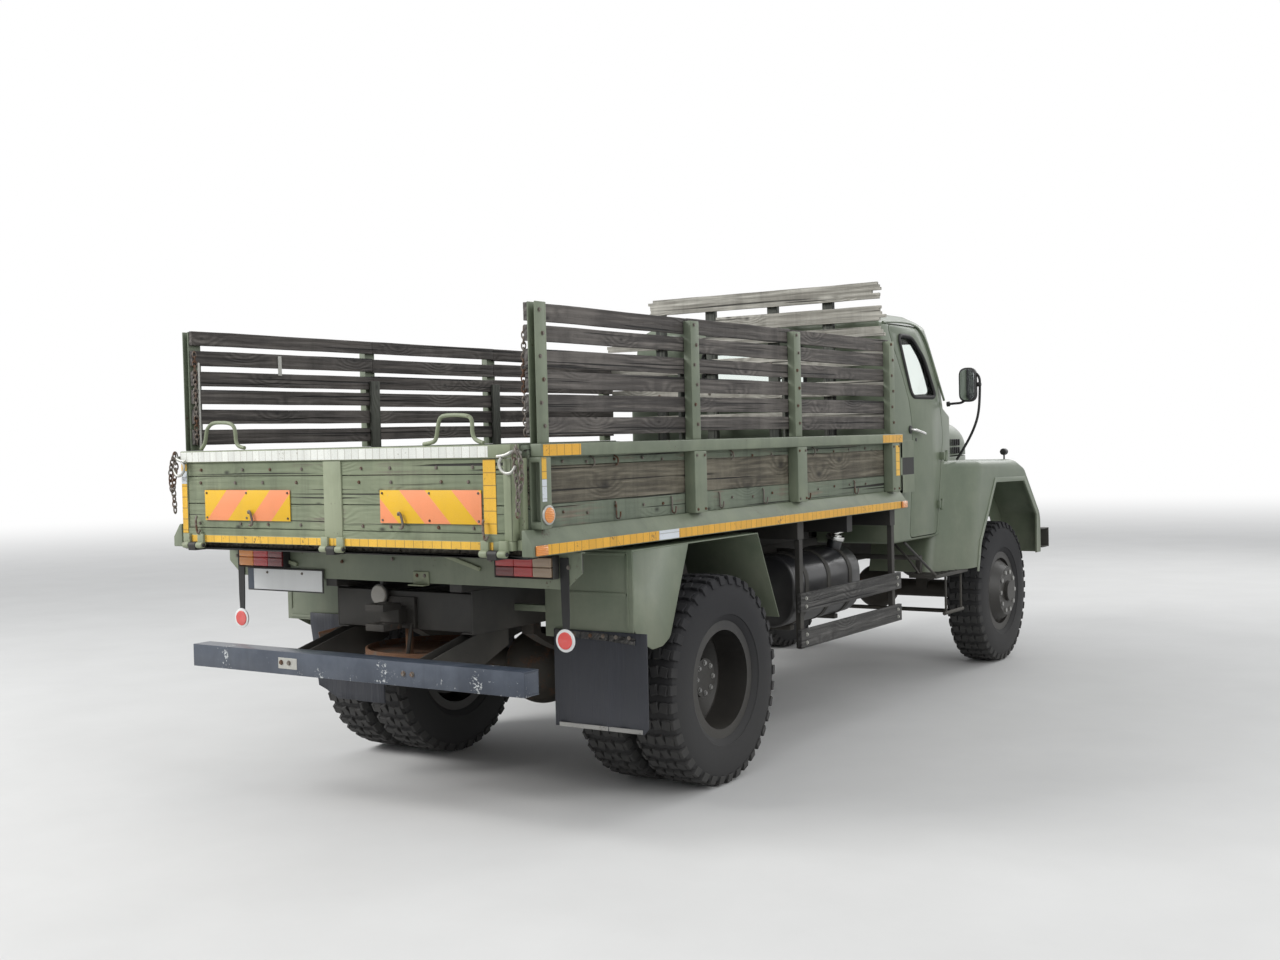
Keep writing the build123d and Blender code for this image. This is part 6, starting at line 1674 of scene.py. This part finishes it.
# fuel tank with its straps and silver filler cap, and the small chassis parts
tank = {"low": (0.513, -0.680, 0.602), "high": (0.898, 0.188, 1.008), "round": 0.155, "cap": (0.775, 0.055, 1.0)}


def roundBar(name, low, high, corner, grow=0.0):
    # a bar along Y with its four long edges rounded
    piece = openPiece(name)
    spread = (grow, 0.0, grow)
    addBar([value - extra for value, extra in zip(low, spread)], [value + extra for value, extra in zip(high, spread)])
    bpy.ops.object.mode_set(mode="OBJECT")
    edgesRounded(piece, lambda first, second: abs(second.y - first.y) > 0.02, corner, 10)
    return piece


hull = roundBar("fuelTankHull", tank["low"], tank["high"], tank["round"])
finish(hull, "chassis", "tank", ("fuel_tank",), 0.02, 4)
for index, y in enumerate((-0.531, -0.25, 0.038)):
    low, high = (tank["low"][0], y - 0.022, tank["low"][2]), (tank["high"][0], y + 0.022, tank["high"][2])
    strap = roundBar("tankStrap" + str(index), low, high, tank["round"] + 0.004, 0.004)
    finish(strap, "chassis", "frame", ("fuel_tank",), 0.0015, 1)
supports = openPiece("tankSupports")
for y in (-0.531, 0.038):
    addBar((0.382, y - 0.025, 0.56), (0.50, y + 0.025, 0.99))
    addBar((0.499, y - 0.024, 0.575), (0.80, y + 0.024, 0.603))
finish(supports, "chassis", "frame", ("fuel_tank",), 0.004, 2)
capX, capY, capZ = tank["cap"]
filler = openPiece("fillerNeck")
addRod((capX, capY, capZ - 0.02), (capX + 0.02, capY, capZ + 0.052), 0.044, 28)
finish(filler, "chassis", "tank", ("fuel_tank",), 0.004, 2)
filler = openPiece("fillerCap")
addRod((capX + 0.019, capY, capZ + 0.050), (capX + 0.026, capY, capZ + 0.076), 0.055, 28)
addRod((capX + 0.026, capY, capZ + 0.074), (capX + 0.029, capY, capZ + 0.084), 0.036, 28)
addBar((capX - 0.016, capY - 0.008, capZ + 0.08), (capX + 0.074, capY + 0.008, capZ + 0.094), (0, -0.26, 0.5))
finish(filler, "chassis", "chrome", ("fuel_tank",), 0.004, 3)

for node, name, body, slot, material, width in (
    ("rear_mudguards", "rearMudguards", "chassis", "bed_green", "guard", 0.002),
    ("front_bumper", "frontBumper", "chassis", "frame_paint", "frame", 0.008),
    ("tow_hitch", "towHitch", "chassis", "axle_iron", "iron", 0.004),
    ("chassis_frame", "chassisFrame", "chassis", "frame_paint", "frame", 0.003),
    ("cab_steps", "cabSteps", "chassis", "frame_paint", "frame", 0.002),
    ("spare_wheel_pan", "sparePan", "chassis", "rusty_steel", "rust", 0.002),
):
    softCopy(node, name, body, material, width, 2)

for side, name in ((1, "right"), (-1, "left")):
    shellPiece = openPiece(name + "HeadlampShell")
    addRod((side * 0.9, 3.018, 0.912), (side * 0.9, 3.050, 0.912), 0.099, 40)
    finish(shellPiece, "chassis", "cab", ("headlamps",), 0.006, 3)
    ring = openPiece(name + "HeadlampRing")
    addRod((side * 0.9, 3.049, 0.912), (side * 0.9, 3.061, 0.912), 0.0965, 40)
    finish(ring, "chassis", "chrome", ("headlamps",), 0.005, 3)
    lens = openPiece(name + "HeadlampLens")
    addRod((side * 0.9, 3.056, 0.912), (side * 0.9, 3.0695, 0.912), 0.083, 40)
    finish(lens, "chassis", "whiteLens", ("headlamps",), 0.012, 4)

for side, name in ((1, "right"), (-1, "left")):
    splash = openPiece(name + "SplashSheet")
    behind = [(y - 0.008, z + (0.005 if z < 1.4 else 0.0)) for y, z in fender["splash"]]
    first, second = sorted((side * 0.60, side * 1.066))
    addPlate(splash, behind[::-1] + fender["splash"], 0, first, second)
    finish(splash, "chassis", "cab", ("front_fenders",), 0.001, 1)
    apron = openPiece(name + "WheelApron")
    first, second = sorted((side * 0.764, side * 0.771))
    addPlate(apron, fender["apron"], 0, first, second)
    finish(apron, "chassis", "cab", ("front_fenders",), 0.001, 1)

# mirrors: a rounded shell, the glass towards the rear, and bent arms
mirror = {"x": 1.078, "y": 1.56, "z": 1.995, "width": 0.124, "height": 0.252}
for side, name in ((1, "right"), (-1, "left")):
    w, h = mirror["width"] / 2, mirror["height"] / 2
    outline = [(mirror["x"] - w, mirror["z"] - h + 0.01), (mirror["x"] + w, mirror["z"] - h + 0.01), (mirror["x"] + w, mirror["z"] + h - 0.01), (mirror["x"] - w, mirror["z"] + h - 0.01)]
    glassLine = [(side * x, z) for x, z in rounded(shrunk(outline, 0.013), 0.047, 7)]
    outline = [(side * x, z) for x, z in rounded(outline, 0.058, 7)]
    shellPiece = plateTool(outline, 1, mirror["y"] - 0.021, mirror["y"] + 0.021)
    shellPiece.name = name + "MirrorShell"
    finish(shellPiece, "chassis", "blackTrim", (name + "_mirror",), 0.014, 5)
    pane = plateTool(glassLine, 1, mirror["y"] - 0.0222, mirror["y"] - 0.0195)
    pane.name = name + "MirrorGlass"
    finish(pane, "chassis", "mirror", (name + "_mirror",), 0.0004, 1)
    arms = [
        [(side * 1.10, 1.566, 2.085), (side * 1.158, 1.566, 2.07), (side * 1.159, 1.566, 1.96), (side * 1.150, 1.562, 1.80), (side * 1.112, 1.56, 1.69), (side * 1.05, 1.562, 1.58), (side * 0.985, 1.57, 1.49)],
        [(side * 0.935, 1.545, 1.868), (side * 0.98, 1.556, 1.872), (side * 1.04, 1.562, 1.874), (side * 1.06, 1.564, 1.90)],
    ]
    finish(bentRods(name + "MirrorArms", arms, 0.0085), "chassis", "seal", (name + "_mirror",), angle=60)
    clamp = openPiece(name + "MirrorClamps")
    addRod((side * 0.930, 1.543, 1.868), (side * 0.952, 1.548, 1.870), 0.017, 16)
    addRod((side * 1.138, 1.566, 1.995), (side * 1.166, 1.566, 1.995), 0.015, 16)
    finish(clamp, "chassis", "seal", (), 0.003, 2)

# struts and treads of the cab step
struts = []
for side in (-1, 1):
    struts.append([(side * 1.035, 0.535, 1.0), (side * 1.038, 0.76, 0.885), (side * 1.04, 1.02, 0.752)])
    struts.append([(side * 0.90, 1.08, 0.752), (side * 0.80, 1.09, 0.90), (side * 0.62, 1.10, 1.02)])
finish(bentRods("stepStruts", struts, 0.0085), "chassis", "frame", angle=60)
treads = openPiece("stepTreads")
for side in (-1, 1):
    for index in range(9):
        y = 1.035 + index * 0.062
        addBar((min(side * 0.875, side * 1.035), y, 0.7495), (max(side * 0.875, side * 1.035), y + 0.016, 0.7545), (0, 0, 0))
finish(treads, "chassis", "frame", (), 0.0012, 1)
# hoses and cables along the frame on the open side
hoses = []
for side in (-1, 1):
    hoses.append([(side * 0.36, -2.4, 0.90), (side * 0.365, -1.6, 0.86), (side * 0.365, -0.6, 0.89), (side * 0.365, 0.4, 0.86), (side * 0.365, 1.3, 0.88)])
    hoses.append([(side * 0.362, -2.5, 0.955), (side * 0.366, -1.2, 0.935), (side * 0.366, 0.0, 0.95), (side * 0.366, 1.4, 0.94)])
finish(bentRods("frameLines", hoses, 0.0075), "chassis", "seal", angle=60)
print("chassis parts made")

# bench seat


def padPiece(name, low, high, swell):
    # a closed box of vinyl, blown up a little by a cloth run, then smoothed
    bpy.ops.object.select_all(action="DESELECT")
    middle = [(a + b) / 2 for a, b in zip(low, high)]
    size = [b - a for a, b in zip(low, high)]
    bpy.ops.mesh.primitive_cube_add(size=1, location=middle, scale=size)
    pad = bpy.context.object
    pad.name = name
    bpy.ops.object.transform_apply(location=True, rotation=True, scale=True)
    bpy.ops.object.mode_set(mode="EDIT")
    bpy.ops.mesh.select_all(action="SELECT")
    bpy.ops.mesh.bevel(offset=0.022, segments=3, affect="EDGES")
    bpy.ops.object.mode_set(mode="OBJECT")
    remesh = pad.modifiers.new("skin", "REMESH")
    remesh.mode = "VOXEL"
    remesh.voxel_size = 0.014
    bpy.ops.object.modifier_apply(modifier="skin")
    start = [vertex.co.copy() for vertex in pad.data.vertices]
    cloth = pad.modifiers.new("swell", "CLOTH")
    cloth.settings.use_pressure = True
    cloth.settings.uniform_pressure_force = 4.0
    cloth.settings.effector_weights.gravity = 0
    cloth.settings.quality = 4
    for frameIndex in range(1, 15):
        scene.frame_set(frameIndex)
    bpy.context.view_layer.objects.active = pad
    bpy.ops.object.modifier_apply(modifier="swell")
    for vertex, old in zip(pad.data.vertices, start):
        step = vertex.co - old
        if step.length > swell:
            vertex.co = old + step.normalized() * swell
    scene.frame_set(1)
    # sewn channels pressed into the cover
    lowX, highX = low[0], high[0]
    for vertex in pad.data.vertices:
        for count in range(1, 6):
            x = lowX + (highX - lowX) * count / 6
            near = abs(vertex.co.x - x)
            if near < 0.03:
                pull = 0.007 * (1 - near / 0.03) ** 2
                away = Vector(middle) - vertex.co
                away.x = 0
                if away.length > 0.01:
                    vertex.co += away.normalized() * pull
    smooth = pad.modifiers.new("smooth", "SUBSURF")
    smooth.levels = 1
    smooth.render_levels = 1
    bpy.ops.object.modifier_apply(modifier="smooth")
    finish(pad, "chassis", "seat", ("bench_seat",), angle=60)
    return pad


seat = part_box("bench_seat")
padPiece("seatCushion", (seat[0][0] + 0.006, seat[0][1] + 0.112, seat[0][2] + 0.004), (seat[1][0] - 0.006, seat[1][1] - 0.004, seat[0][2] + 0.112), 0.008)
padPiece("seatBack", (seat[0][0] + 0.006, seat[0][1] + 0.004, seat[0][2] + 0.13), (seat[1][0] - 0.006, seat[0][1] + 0.098, seat[1][2] - 0.008), 0.008)
print("seat made")
